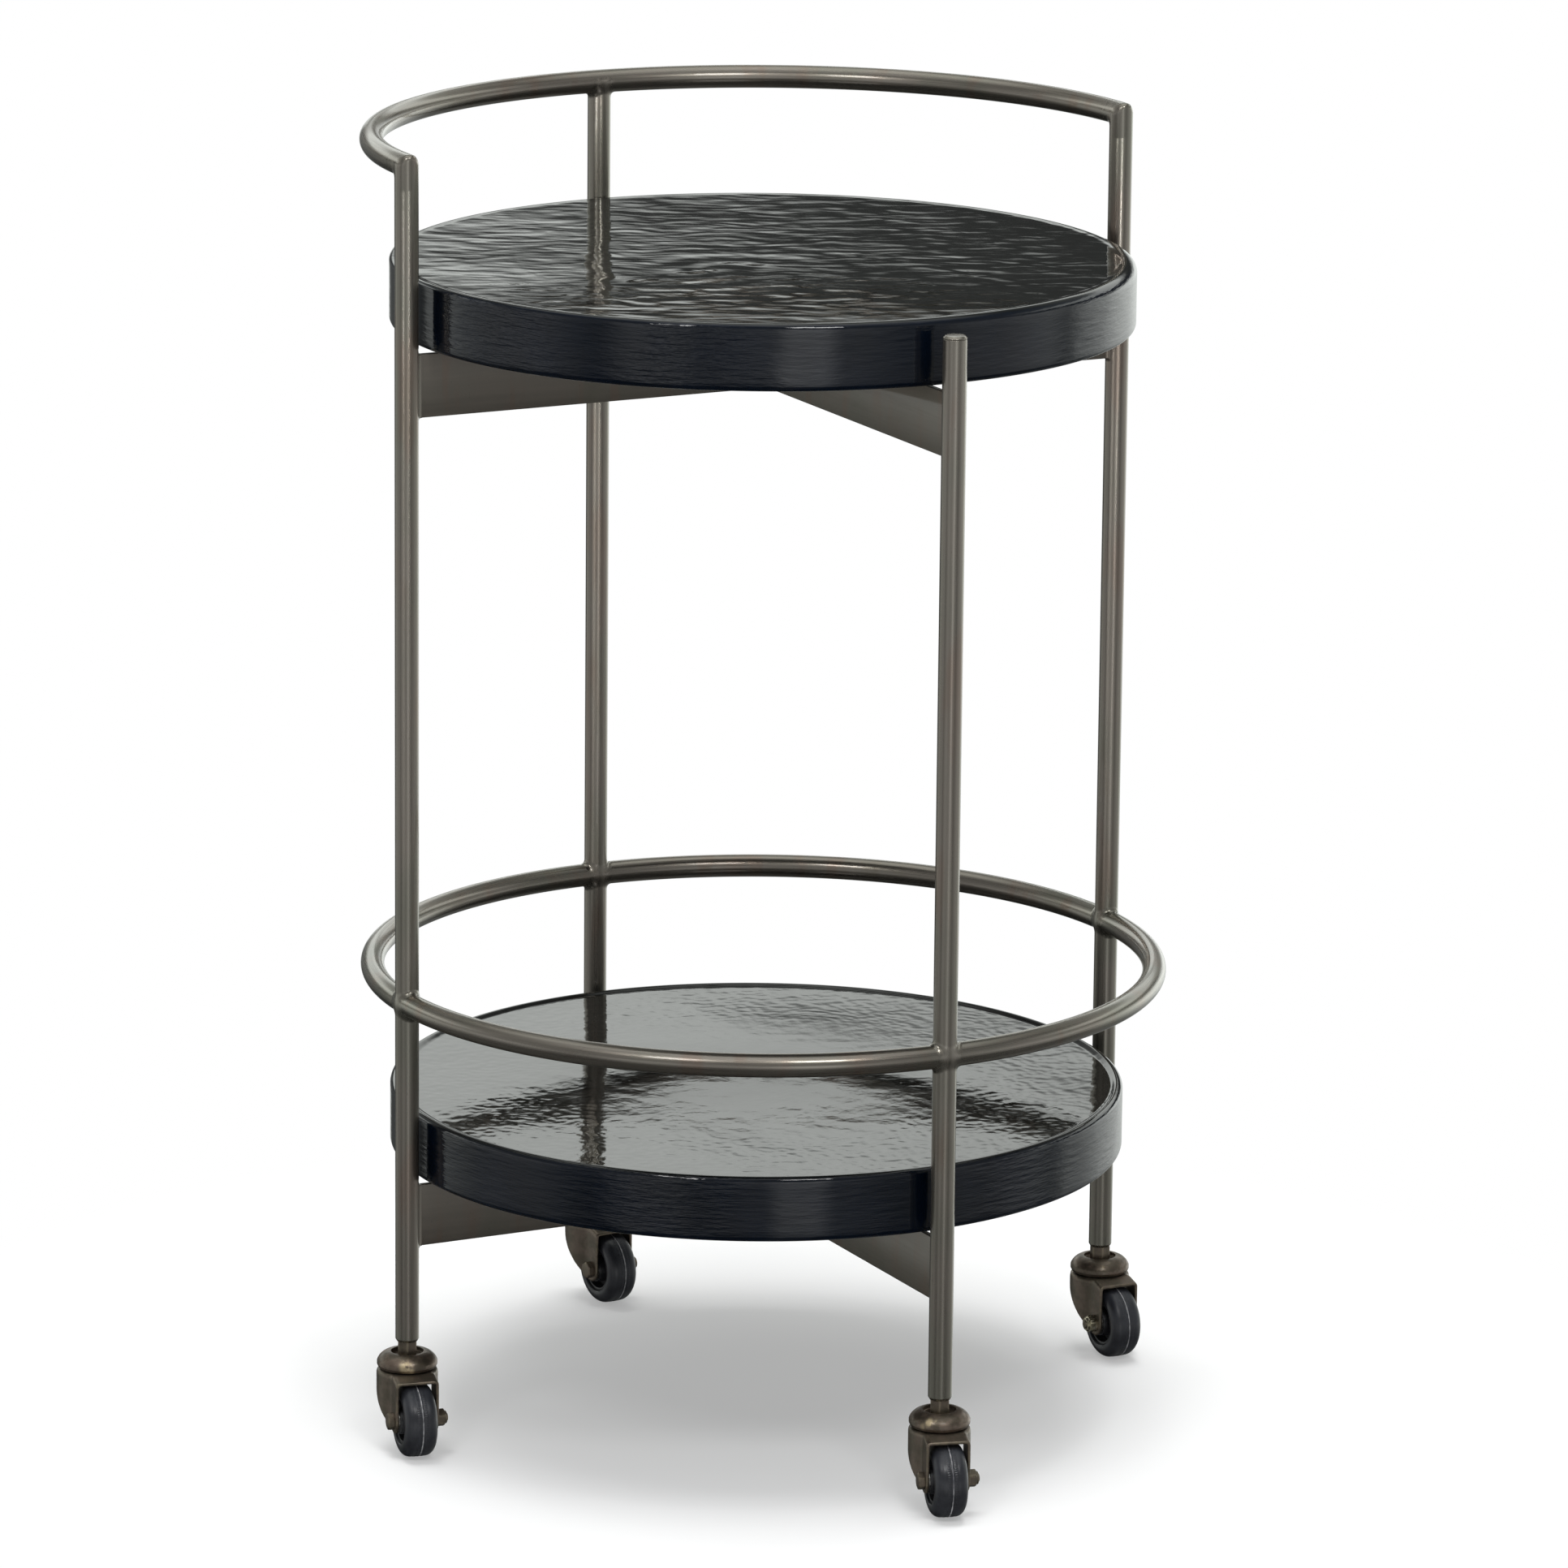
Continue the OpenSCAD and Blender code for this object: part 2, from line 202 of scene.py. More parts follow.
def skin(distance, low, high, step, keep=None):
    """The surface where distance is 0 inside a box, one vertex a cell, moved exactly onto it.
    keep picks the vertices whose faces stay."""
    low, high = np.array(low, float), np.array(high, float)
    size = np.ceil((high - low) / step).astype(int) + 1
    grid = np.meshgrid(*[low[a] + step * np.arange(size[a]) for a in range(3)], indexing="ij")
    value = distance(*grid)
    cells = np.array(value.shape) - 1
    total, hits = np.zeros((*cells, 3)), np.zeros(tuple(cells))

    def at(corner):
        return value[tuple(slice(c, c + n) for c, n in zip(corner, cells))]

    for axis in range(3):
        for corner in np.ndindex(2, 2, 2):
            if corner[axis]:
                continue
            a, b = at(corner), at(tuple(c + (k == axis) for k, c in enumerate(corner)))
            crossed = (a < 0) != (b < 0)
            place = np.broadcast_to(np.array(corner, float), total.shape).copy()
            place[..., axis] += np.where(crossed, a / np.where(crossed, a - b, 1), 0)
            total += place * crossed[..., None]
            hits += crossed
    mixed = hits > 0
    index = np.full(mixed.shape, -1)
    index[mixed] = np.arange(mixed.sum())
    points = low + step * (np.argwhere(mixed) + total[mixed] / hits[mixed][:, None])
    quads = []
    for axis in range(3):
        u, v = (axis + 1) % 3, (axis + 2) % 3
        ahead = np.roll(value, -1, axis) < 0
        edge = (value < 0) != ahead
        inner = [slice(1, n) for n in cells]
        inner[axis] = slice(0, cells[axis])
        where = np.argwhere(edge[tuple(inner)]) + [0 if a == axis else 1 for a in range(3)]
        step_u, step_v = np.eye(3, dtype=int)[u], np.eye(3, dtype=int)[v]
        ring = [where - step_u - step_v, where - step_v, where, where - step_u]
        quad = np.stack([index[tuple(r.T)] for r in ring], axis=-1)
        flip = value[tuple(where.T)] >= 0
        quad[flip] = quad[flip][:, ::-1]
        quads.append(quad)
    quads = np.vstack(quads)
    quads = quads[(quads >= 0).all(axis=1)]
    nudge = 0.002
    for _ in range(6):
        slope = np.stack([(distance(*(points + d).T) - distance(*(points - d).T)) / (2 * nudge)
                          for d in nudge * np.eye(3)], axis=-1)
        size2 = np.maximum((slope ** 2).sum(axis=1), 0.05)
        points = points - slope * (distance(*points.T) / size2)[:, None]
    if keep is not None:
        quads = quads[keep(*points.T)[quads].any(axis=1)]
        used = np.unique(quads)
        renumber = np.full(len(points), -1)
        renumber[used] = np.arange(len(used))
        points, quads = points[used], renumber[quads]
    return points, quads.tolist()


def placed(shape, matrix):
    """The same shape moved by a 4 by 4 matrix."""
    points, faces = shape
    m = np.array(matrix)
    return points @ m[:3, :3].T + m[:3, 3], faces


def joined(*shapes):
    """Several shapes as one."""
    points, faces, start = [], [], 0
    for p, f in shapes:
        points.append(p)
        faces += [[start + i for i in face] for face in f]
        start += len(p)
    return np.vstack(points), faces


def edge_wear(mesh):
    """How sharply the surface turns outwards at each vertex, from 0 to 1."""
    bm = bmesh.new()
    bm.from_mesh(mesh)
    wear = np.zeros(len(bm.verts))
    for edge in bm.edges:
        if len(edge.link_faces) == 2:
            turn = edge.calc_face_angle_signed(0.0)
            for vert in edge.verts:
                wear[vert.index] = max(wear[vert.index], turn)
    bm.free()
    return np.clip(wear / math.radians(30), 0, 1)


def piece(name, shape, material, body, slot, nodes=(), grain=None, sharp=32, wear=None,
          worn_edges=1.0, shell=0):
    """Makes an object of a shape in millimetres, puts it on its body and hides the CAD nodes it stands
    for. slot is not used.
    grain turns points into a space whose third axis runs with the brushing. The patch function gives
    brass patches that are added to the brass on sharp edges; on the caps these patches are partly
    rubbing and partly painted highlight. shell thickens an open surface inwards."""
    points, faces = shape
    mesh = bpy.data.meshes.new(name)
    mesh.from_pydata((points * MM).tolist(), [], faces)
    bm = bmesh.new()
    bm.from_mesh(mesh)
    bmesh.ops.remove_doubles(bm, verts=bm.verts, dist=1e-7)
    if shell:
        bmesh.ops.solidify(bm, geom=bm.faces, thickness=shell * MM)
    bmesh.ops.recalc_face_normals(bm, faces=bm.faces)
    bm.to_mesh(mesh)
    bm.free()
    mesh.shade_smooth()
    mesh.set_sharp_from_angle(angle=math.radians(sharp))
    co = np.zeros(len(mesh.vertices) * 3)
    mesh.vertices.foreach_get("co", co)
    co = co.reshape(-1, 3) / MM
    brushed = co if grain is None else grain(co)
    mesh.attributes.new("grain", "FLOAT_VECTOR", "POINT").data.foreach_set(
        "vector", np.asarray(brushed, np.float32).ravel())
    if wear is not None:
        # Brass marks: sharp edges plus the given patches, which on the caps are partly painted
        # highlight.
        worn_and_glint = np.maximum(worn_edges * edge_wear(mesh), wear(co))
        mesh.attributes.new("wear", "FLOAT", "POINT").data.foreach_set(
            "value", worn_and_glint.astype(np.float32))
    mesh.materials.append(material)
    obj = bpy.data.objects.new(name, mesh)
    bpy.context.scene.collection.objects.link(obj)
    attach(obj, body)
    if nodes:
        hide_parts(*nodes)
    return obj


# ---------- materials ----------

def add(tree, kind, inputs=None, **settings):
    """A node with its settings, and its inputs linked or set."""
    made = tree.nodes.new(kind)
    for key, value in settings.items():
        setattr(made, key, value)
    for key, value in (inputs or {}).items():
        if isinstance(value, bpy.types.NodeSocket):
            tree.links.new(value, made.inputs[key])
        else:
            made.inputs[key].default_value = value
    return made


def sums(tree, operation, a, b=0.0, c=0.0, clamp=False):
    return add(tree, "ShaderNodeMath", {0: a, 1: b, 2: c}, operation=operation,
               use_clamp=clamp).outputs[0]


def stretched(tree, vector, scale):
    return add(tree, "ShaderNodeVectorMath", {0: vector, 1: scale}, operation="MULTIPLY").outputs[0]


def noise(tree, vector, scale, detail=2.0, rough=0.5):
    """Noise with a scale for each axis, from about 0 to 1."""
    return add(tree, "ShaderNodeTexNoise", {"Vector": stretched(tree, vector, scale), "Scale": 1.0,
                                            "Detail": detail, "Roughness": rough}).outputs[0]


def span(tree, value, low, high, to_low=0.0, to_high=1.0):
    """Maps low..high to to_low..to_high, with a soft turn at both ends."""
    return add(tree, "ShaderNodeMapRange",
               {"Value": value, "From Min": low, "From Max": high, "To Min": to_low,
                "To Max": to_high}, interpolation_type="SMOOTHSTEP").outputs[0]


def mixed(tree, share, a, b):
    made = add(tree, "ShaderNodeMix", data_type="RGBA")
    for socket, value in ((made.inputs[0], share), (made.inputs[6], a), (made.inputs[7], b)):
        if isinstance(value, bpy.types.NodeSocket):
            tree.links.new(value, socket)
        elif hasattr(value, "__len__"):
            socket.default_value = (*value, 1.0)
        else:
            socket.default_value = value
    return made.outputs[2]


def times(tree, a, b):
    """The product of two colours."""
    product = mixed(tree, 1.0, a, b)
    product.node.blend_type = "MULTIPLY"
    return product


def bumped(tree, height, distance, strength=1.0):
    """A normal from a height from 0 to 1 that stands for distance in metres."""
    return add(tree, "ShaderNodeBump", {"Height": height, "Distance": distance,
                                        "Strength": strength}).outputs[0]


def material(name, paint, **constants):
    """A Principled material. paint(tree) gives the sockets that vary over the surface."""
    made = bpy.data.materials.new(name)
    made.use_nodes = True
    tree = made.node_tree
    shader = tree.nodes["Principled BSDF"]
    for key, value in constants.items():
        shader.inputs[key.replace("_", " ")].default_value = value
    for key, socket in paint(tree).items():
        tree.links.new(socket, shader.inputs[key])
    return made


def grain_of(tree):
    return add(tree, "ShaderNodeAttribute", attribute_name="grain").outputs["Vector"]


def place_of(tree):
    return add(tree, "ShaderNodeTexCoord").outputs["Object"]


def brushed(name, light, dark, patina, gloss=(0.23, 0.38), streak=(1.5, 1.5, 0.015)):
    """Antiqued metal under lacquer: streaks along the grain, with clouds of patina."""
    def paint(tree):
        grain, place = grain_of(tree), place_of(tree)
        fine = noise(tree, grain, streak, 3.0, 0.6)
        broad = noise(tree, grain, tuple(0.22 * s for s in streak), 2.0)
        cloud = noise(tree, place, (14, 14, 9), 3.0)
        fleck = noise(tree, place, (900, 900, 500), 1.0)
        tone = mixed(tree, span(tree, broad, 0.25, 0.75), dark, light)
        tone = mixed(tree, span(tree, fine, 0.35, 0.75, 0.0, 0.4), tone, light)
        tone = mixed(tree, span(tree, cloud, 0.46, 0.66, 0.0, 0.8), tone, patina)
        rust = noise(tree, stretched(tree, place, (60, 60, 12)), (1, 1, 1), 2.0)
        tone = mixed(tree, span(tree, rust, 0.52, 0.70, 0.0, 0.45), tone, (0.24, 0.17, 0.13))
        tone = mixed(tree, span(tree, fleck, 0.70, 0.80, 0.0, 0.2), tone, (0.02, 0.018, 0.015))
        return {"Base Color": tone,
                "Roughness": span(tree, sums(tree, "ADD", fine, broad), 0.7, 1.3, *gloss),
                "Normal": bumped(tree, fine, 0.00002, 0.6)}
    return material(name, paint, Metallic=0.92, Coat_Weight=0.7, Coat_Roughness=0.07,
                    Specular_IOR_Level=0.5)


FRAME_METAL = brushed("frame_metal", (0.27, 0.243, 0.205), (0.20, 0.18, 0.15),
                      (0.205, 0.20, 0.16))
BAR_METAL = brushed("bar_metal", (0.235, 0.21, 0.175), (0.205, 0.185, 0.155),
                    (0.20, 0.19, 0.155), gloss=(0.34, 0.46), streak=(0.9, 0.9, 0.02))


def caster_paint(tree):
    """Dark bronze with brown clouds, brass from rubbing where the surface turns sharply."""
    place = place_of(tree)
    wear = add(tree, "ShaderNodeAttribute", attribute_name="wear").outputs["Fac"]
    cloud = noise(tree, place, (90, 90, 90), 4.0, 0.6)
    blot = noise(tree, place, (260, 260, 260), 3.0, 0.6)
    tone = mixed(tree, span(tree, cloud, 0.38, 0.62), (0.125, 0.108, 0.08), (0.175, 0.14, 0.11))
    brass_share = sums(tree, "MULTIPLY", wear, span(tree, blot, 0.36, 0.66, 0.0, 0.6), clamp=True)
    tone = mixed(tree, brass_share, tone, (0.30, 0.255, 0.175))
    return {"Base Color": tone,
            "Roughness": span(tree, blot, 0.3, 0.7, 0.34, 0.52),
            "Normal": bumped(tree, blot, 0.00006, 0.5)}


CASTER_BRONZE = material("caster_bronze", caster_paint, Metallic=0.85, Coat_Weight=0.15,
                         Coat_Roughness=0.3)


def cap_paint(tree):
    """Caster bronze with a brushed brass crown where the cap has been handled; part of that brass is a
    painted highlight.
    """
    place = place_of(tree)
    wear = add(tree, "ShaderNodeAttribute", attribute_name="wear").outputs["Fac"]
    cloud = noise(tree, place, (70, 70, 120), 4.0, 0.65)
    blot = noise(tree, place, (300, 300, 300), 3.0, 0.6)
    tone = mixed(tree, span(tree, cloud, 0.40, 0.60), (0.115, 0.095, 0.07), (0.20, 0.155, 0.12))
    # Brass share: edge rubbing and the cap's listed spots, some of them painted highlight.
    brass_share = sums(tree, "MULTIPLY", span(tree, wear, 0.15, 0.8), span(tree, blot, 0.34, 0.52))
    tone = mixed(tree, brass_share, tone, (0.50, 0.41, 0.26))
    return {"Base Color": tone,
            "Roughness": span(tree, blot, 0.3, 0.7, 0.36, 0.56),
            "Normal": bumped(tree, blot, 0.00005, 0.5)}


CAP_BRONZE = material("cap_bronze", cap_paint, Metallic=0.9, Coat_Weight=0.25, Coat_Roughness=0.2)


def plated(name, cloud_scale, fine_scale, dark, light, dull, relief):
    """Bright plating with clouds, a little dulled."""
    def paint(tree):
        place = place_of(tree)
        cloud = noise(tree, place, (cloud_scale,) * 3, 3.0)
        fine = noise(tree, place, (fine_scale,) * 3, 3.0)
        return {"Base Color": mixed(tree, span(tree, cloud, 0.35, 0.65), dark, light),
                "Roughness": span(tree, fine, 0.3, 0.7, 0.22, dull),
                "Normal": bumped(tree, fine, 0.00003, relief)}
    return material(name, paint, Metallic=1.0)


BRIGHT_ZINC = plated("bright_zinc", 240, 900, (0.40, 0.36, 0.24), (0.72, 0.68, 0.54), 0.36, 0.5)
BEARING_STEEL = plated("bearing_steel", 120, 700, (0.45, 0.44, 0.40), (0.62, 0.61, 0.58), 0.38, 0.4)


def glass_paint(tree):
    """Black cast glass: fine chatter on the top, level striations round the side."""
    place = place_of(tree)
    normal_z = add(tree, "ShaderNodeSeparateXYZ", {
        0: add(tree, "ShaderNodeNewGeometry").outputs["Normal"]}).outputs[2]
    upward = span(tree, normal_z, 0.6, 0.95)
    chatter = noise(tree, place, (120, 120, 120), 4.0, 0.6)
    streak = noise(tree, place, (45, 45, 380), 3.0, 0.6)
    patch = span(tree, noise(tree, place, (9, 9, 4), 2.0), 0.42, 0.62, 0.25, 1.0)
    side = bumped(tree, sums(tree, "MULTIPLY", streak, patch), 0.0006, 0.9)
    top = bumped(tree, chatter, 0.00012, 0.5)
    blend = add(tree, "ShaderNodeMix", data_type="VECTOR")
    for socket, value in ((blend.inputs[0], upward), (blend.inputs[4], side), (blend.inputs[5], top)):
        tree.links.new(value, socket)
    body = noise(tree, place, (30, 30, 30), 3.0)
    navy = mixed(tree, span(tree, body, 0.3, 0.7), (0.0008, 0.0022, 0.005), (0.001, 0.003, 0.0075))
    tone = mixed(tree, upward, navy, (0.002, 0.0024, 0.0022))
    return {"Base Color": tone, "Roughness": span(tree, streak, 0.3, 0.7, 0.03, 0.07),
            "Normal": blend.outputs[1]}


BLACK_GLASS = material("black_glass", glass_paint, IOR=1.5)


def rubber(name, low, high, dust, ior):
    """Rubber or moulded plastic, clouded from low to high, with dusty scuffs."""
    def paint(tree):
        place = place_of(tree)
        fine = noise(tree, place, (900, 900, 900), 3.0)
        cloud = noise(tree, place, (60, 60, 60), 3.0, 0.6)
        tone = mixed(tree, span(tree, cloud, 0.35, 0.65), low, high)
        scuff = span(tree, noise(tree, place, (400, 400, 140), 3.0, 0.7), 0.62, 0.76, 0.0, 0.5)
        tone = mixed(tree, scuff, tone, dust)
        return {"Base Color": tone, "Roughness": span(tree, cloud, 0.3, 0.7, 0.30, 0.48),
                "Normal": bumped(tree, fine, 0.00004, 0.5)}
    return material(name, paint, IOR=ior)


TYRE_RUBBER = rubber("tyre_rubber", (0.014, 0.015, 0.019), (0.022, 0.024, 0.03),
                     (0.06, 0.062, 0.07), 1.55)
TYRE_LINE = rubber("tyre_line", (0.10, 0.10, 0.11), (0.32, 0.32, 0.33), (0.45, 0.45, 0.45), 1.5)
WHEEL_PLASTIC = rubber("wheel_plastic", (0.012, 0.012, 0.014), (0.03, 0.031, 0.033),
                       (0.06, 0.06, 0.06), 1.46)
BUMPER_RUBBER = rubber("bumper_rubber", (0.02, 0.02, 0.02), (0.035, 0.035, 0.035),
                       (0.08, 0.08, 0.08), 1.5)


# ---------- frame tubes ----------

AROUND = 64
CORNER_REACH = 14.0


def frame_piece(name, shape, nodes=(), grain=None, **look):
    """A piece of the welded frame, in the metal of its tubes."""
    piece(name, shape, FRAME_METAL, "frame", "frame_metal", nodes, grain, **look)


def post_grain(xy):
    return lambda p: p - np.array([xy[0], xy[1], 0.0])


def ring_grain(height):
    """Grain space of a ring: across the tube, up, and along the arc."""
    def grain(p):
        radius = np.hypot(p[:, 0], p[:, 1])
        angle = np.arctan2(p[:, 1], p[:, 0])
        return np.stack([radius - POST_CIRCLE_R, p[:, 2] - height, angle * POST_CIRCLE_R], axis=-1)
    return grain


def upright(xy, outline):
    """A turned tube or rod standing at xy."""
    points, faces = turned(outline, AROUND)
    return points + np.array([xy[0], xy[1], 0.0]), faces


def arc_tube(height, start, end, steps, closed=False):
    """A tube along the circle of posts from one angle to another."""
    section = np.linspace(0, 2 * math.pi, AROUND, endpoint=False)
    radius, rise = POST_CIRCLE_R + TUBE_R * np.cos(section), height + TUBE_R * np.sin(section)
    rings = [np.stack([radius * math.cos(a), radius * math.sin(a), rise], axis=-1)
             for a in np.linspace(start, end, steps, endpoint=not closed)]
    return loft(rings, closed)


def build_posts():
    """Posts above the ring and legs below it. Each leg ends in a small chamfer."""
    tops = {"left": RAIL_Z - CORNER_REACH, "right": RAIL_Z - CORNER_REACH, "back": RAIL_Z}
    chamfer, seam = 1.1, 0.25
    for side in SIDES:
        xy = POST_XY[side]
        leg = rounded([(TUBE_R - chamfer, LEG_END_Z), (TUBE_R, LEG_END_Z + 1.6 * chamfer),
                       (TUBE_R, RING_Z)], [0, 0.8, 0], closed=False)
        frame_piece(f"{side}_leg_tube", upright(xy, leg), [f"{side}_leg"], post_grain(xy))
        if side == "front":
            disc_z = node_box("front_post_disc")[0][2]
            post = rounded([(TUBE_R, RING_Z), (TUBE_R, disc_z - seam), (TUBE_R - seam, disc_z)],
                           [0, 0.3, 0], closed=False)
            cap = rounded([(TUBE_R - seam, disc_z), (TUBE_R, disc_z + seam),
                           (TUBE_R, SHORT_POST_TOP - 1.2), (TUBE_R - 1.4, SHORT_POST_TOP),
                           (0.5, SHORT_POST_TOP)], [0, 0.2, 0.9, 0.9, 0], closed=False)
            frame_piece("front_post_cap", upright(xy, cap), ["front_post_disc"], post_grain(xy))
        else:
            post = [(TUBE_R, RING_Z), (TUBE_R, tops[side])]
        frame_piece(f"{side}_post_tube", upright(xy, post), [f"{side}_post"], post_grain(xy))


def build_rings():
    frame_piece("lower_ring_tube", arc_tube(RING_Z, 0, 2 * math.pi, 360, closed=True),
                ["lower_ring"], ring_grain(RING_Z))
    inset = CORNER_REACH / POST_CIRCLE_R
    frame_piece("gallery_rail_tube", arc_tube(RAIL_Z, inset, math.pi - inset, 180),
                ["gallery_rail"], ring_grain(RAIL_Z))


# ---------- welds ----------

def upright_distance(xy, high=None):
    def distance(x, y, z):
        d = np.hypot(x - xy[0], y - xy[1]) - TUBE_R
        if high is not None:
            d = np.maximum(d, z - high)
        return d
    return distance


def ring_distance(height):
    def distance(x, y, z):
        return np.hypot(np.hypot(x, y) - POST_CIRCLE_R, z - height) - TUBE_R
    return distance


def bar_distance(along, top, height):
    """A flat bar through the middle, along X or Y."""
    def distance(x, y, z):
        across = y if along == "x" else x
        du, dv = np.abs(across) - BAR_T / 2, np.abs(z - (top - height / 2)) - height / 2
        outside = np.hypot(np.maximum(du, 0), np.maximum(dv, 0))
        return outside + np.minimum(np.maximum(du, dv), 0)
    return distance


def weld(name, first, second, low, high, radius, step, grain):
    """The fillet between two surfaces, as a thin closed shell that meets both without a step."""
    least_fill = 0.012

    def filled(x, y, z):
        return soft_min(first(x, y, z), second(x, y, z), radius)

    def has_fill(x, y, z):
        return np.minimum(first(x, y, z), second(x, y, z)) > least_fill

    shape = skin(filled, low, high, step, has_fill)
    frame_piece(name, shape, grain=grain, sharp=60, shell=0.5)


def build_welds():
    reach, ring_fillet, bar_fillet = 13.0, 3.4, 2.2
    bar_reach = np.array([6, 6, 5])
    for side in SIDES:
        xy = POST_XY[side]
        centre = np.array([xy[0], xy[1], RING_Z])
        weld(f"{side}_ring_weld", upright_distance(xy), ring_distance(RING_Z),
             centre - reach, centre + reach, ring_fillet, 0.55, post_grain(xy))
        along = "x" if side in ("left", "right") else "y"
        inward = -xy / POST_CIRCLE_R
        for level in ("upper", "lower"):
            low, high = node_box(f"{level}_bar_left_right")
            top, height = high[2], high[2] - low[2]
            middle_xy = xy + inward * TUBE_R
            box_low = np.array([*middle_xy, top - height]) - bar_reach
            box_high = np.array([*middle_xy, top]) + bar_reach
            weld(f"{side}_{level}_bar_weld", upright_distance(xy), bar_distance(along, top, height),
                 box_low, box_high, bar_fillet, 0.5, post_grain(xy))
    xy = POST_XY["back"]
    centre = np.array([xy[0], xy[1], RAIL_Z])
    weld("back_rail_weld", upright_distance(xy, high=RAIL_Z), ring_distance(RAIL_Z),
         centre - reach, centre + reach, ring_fillet, 0.55, post_grain(xy))


def rail_corner(side):
    """The mitred corner between an end post and the rail, with its outer edge ground round."""
    xy = POST_XY[side]
    outer_round, inner_fillet, proud = 3.2, 3.0, 0.006

    def distance(x, y, z):
        post = np.hypot(x - xy[0], y) - TUBE_R
        rail = np.hypot(np.hypot(x, np.maximum(y, 0)) - POST_CIRCLE_R, z - RAIL_Z) - TUBE_R
        lean = (z - RAIL_Z - y) / (1.4 * TUBE_R)
        radius = np.where(lean > 0, outer_round, inner_fillet) * smooth(np.abs(lean), 0, 1) + 1e-6
        corner = np.where(lean > 0, soft_max(post, rail, radius), soft_min(post, rail, radius))
        return corner - proud

    reach, half = CORNER_REACH + 1.0, 11.0
    low = [xy[0] - half, -half, RAIL_Z - reach]
    high = [xy[0] + half, reach, RAIL_Z + half]
    points, faces = skin(distance, low, high, 0.6)
    points[:, 2] = np.minimum(points[:, 2], RAIL_Z + TUBE_R)
    frame_piece(f"{side}_rail_corner", (points, faces), grain=post_grain(xy), sharp=60, shell=1.0)


# ---------- crosses ----------

def flat_bar(along, level, notch_up):
    """A flat bar on edge with soft long edges and a half-lap notch at the middle."""
    low, high = node_box(f"{level}_bar_left_right")
    top, bottom = high[2], low[2]
    half = POST_CIRCLE_R - TUBE_R + 1.2
    notch = BAR_T / 2 + 0.15
    mid = (top + bottom) / 2
    edge = 0.45
    stations = sorted({*np.linspace(-half, -notch, 40), *np.linspace(notch, half, 40),
                       -notch, notch})
    rings = []
    for s in stations:
        section = rounded([(-BAR_T / 2, bottom), (BAR_T / 2, bottom), (BAR_T / 2, top),
                           (-BAR_T / 2, top)], edge, steps=3)
        rings.append([(s, a, z) for a, z in section])
    core_low, core_high = (bottom, mid) if notch_up else (mid, top)
    core = rounded([(-BAR_T / 2, core_low), (BAR_T / 2, core_low), (BAR_T / 2, core_high),
                    (-BAR_T / 2, core_high)], edge, steps=3)
    left = loft(rings[:len(rings) // 2])
    right = loft(rings[len(rings) // 2:])
    bridge = loft([[(s, a, z) for a, z in core] for s in (-notch - 0.5, notch + 0.5)])
    points, faces = joined(left, right, bridge)
    if along == "y":
        points = np.stack([-points[:, 1], points[:, 0], points[:, 2]], axis=-1)
    return points, faces


def build_crosses():
    for level in ("upper", "lower"):
        for along, words, notch_up in (("x", "left_right", False), ("y", "front_back", True)):
            axis = 0 if along == "x" else 1
            order = [1 - axis, 2, axis]
            piece(f"{level}_bar_{words}_flat", flat_bar(along, level, notch_up), BAR_METAL,
                  "frame", "frame_metal", [f"{level}_bar_{words}"], lambda p, o=order: p[:, o])


# ---------- glass ----------

LOWER_RIM = 3.4
UPPER_RIM_LEAST = 2.6
UPPER_RIM_MORE = 4.4
UPPER_RIM_WIDE = math.radians(-27)
MARK_R = 157
SWIRL = (-56, -31)
STROKE_WAY = (0.893, -0.451)
SAG = 0.035
SAG_WAY = (-0.45, -0.89)


def strokes(x, y, length, size, seed):
    """Ripples drawn out along the casting strokes, length times as long as they are wide."""
    along = (x * STROKE_WAY[0] + y * STROKE_WAY[1]) / length
    across = y * STROKE_WAY[0] - x * STROKE_WAY[1]
    return ripple(along, across, size, seed)


def top_relief(level, x, y):
    """Height of the cast top over its mean, in millimetres."""
    radius, turn = np.hypot(x, y), np.arctan2(y, x)
    warped = [x + 6 * ripple(x, y, 45, 5), y + 6 * ripple(x, y, 45, 6)]
    mark = MARK_R + 2.0 * ripple(120 * np.cos(turn), 120 * np.sin(turn), 60, 9)
    relief = -0.02 * np.exp(-((radius - mark) / 1.3) ** 2)
    if level == "upper":
        dx, dy = x - SWIRL[0], y - SWIRL[1]
        away = np.hypot(dx, dy)
        calm = 1 - 0.55 * np.exp(-(away / 45) ** 2)
        spiral = np.cos(2 * math.pi * away / 42 + 2 * np.arctan2(dy, dx)
                        + 2.2 * ripple(x, y, 60, 12))
        relief += calm * 0.075 * strokes(*warped, 2.0, 7, 1)
        relief += calm * 0.13 * strokes(*warped, 1.7, 15, 2)
        relief += 0.17 * spiral * np.exp(-(away / 75) ** 2)
        relief += 0.25 * ripple(x, y, 80, 3)
    else:
        rough = 0.2 + 0.8 * smooth(radius, 100, 180)
        relief += rough * 0.060 * ripple(*warped, 5.5, 21)
        relief += 0.045 * ripple(*warped, 16, 22)
        relief += 0.16 * ripple(x, y, 80, 23)
        slope = SAG * (x * SAG_WAY[0] + y * SAG_WAY[1])
        relief -= slope * np.exp(-(radius / 110) ** 2)
    return relief


def rim_radius(level, angle):
    """Radius of the round on the top rim, which is wider on one side of the upper disc."""
    if level == "lower":
        return np.full_like(angle, LOWER_RIM)
    wide = ((1 + np.cos(angle - UPPER_RIM_WIDE)) / 2) ** 3
    return UPPER_RIM_LEAST + UPPER_RIM_MORE * wide


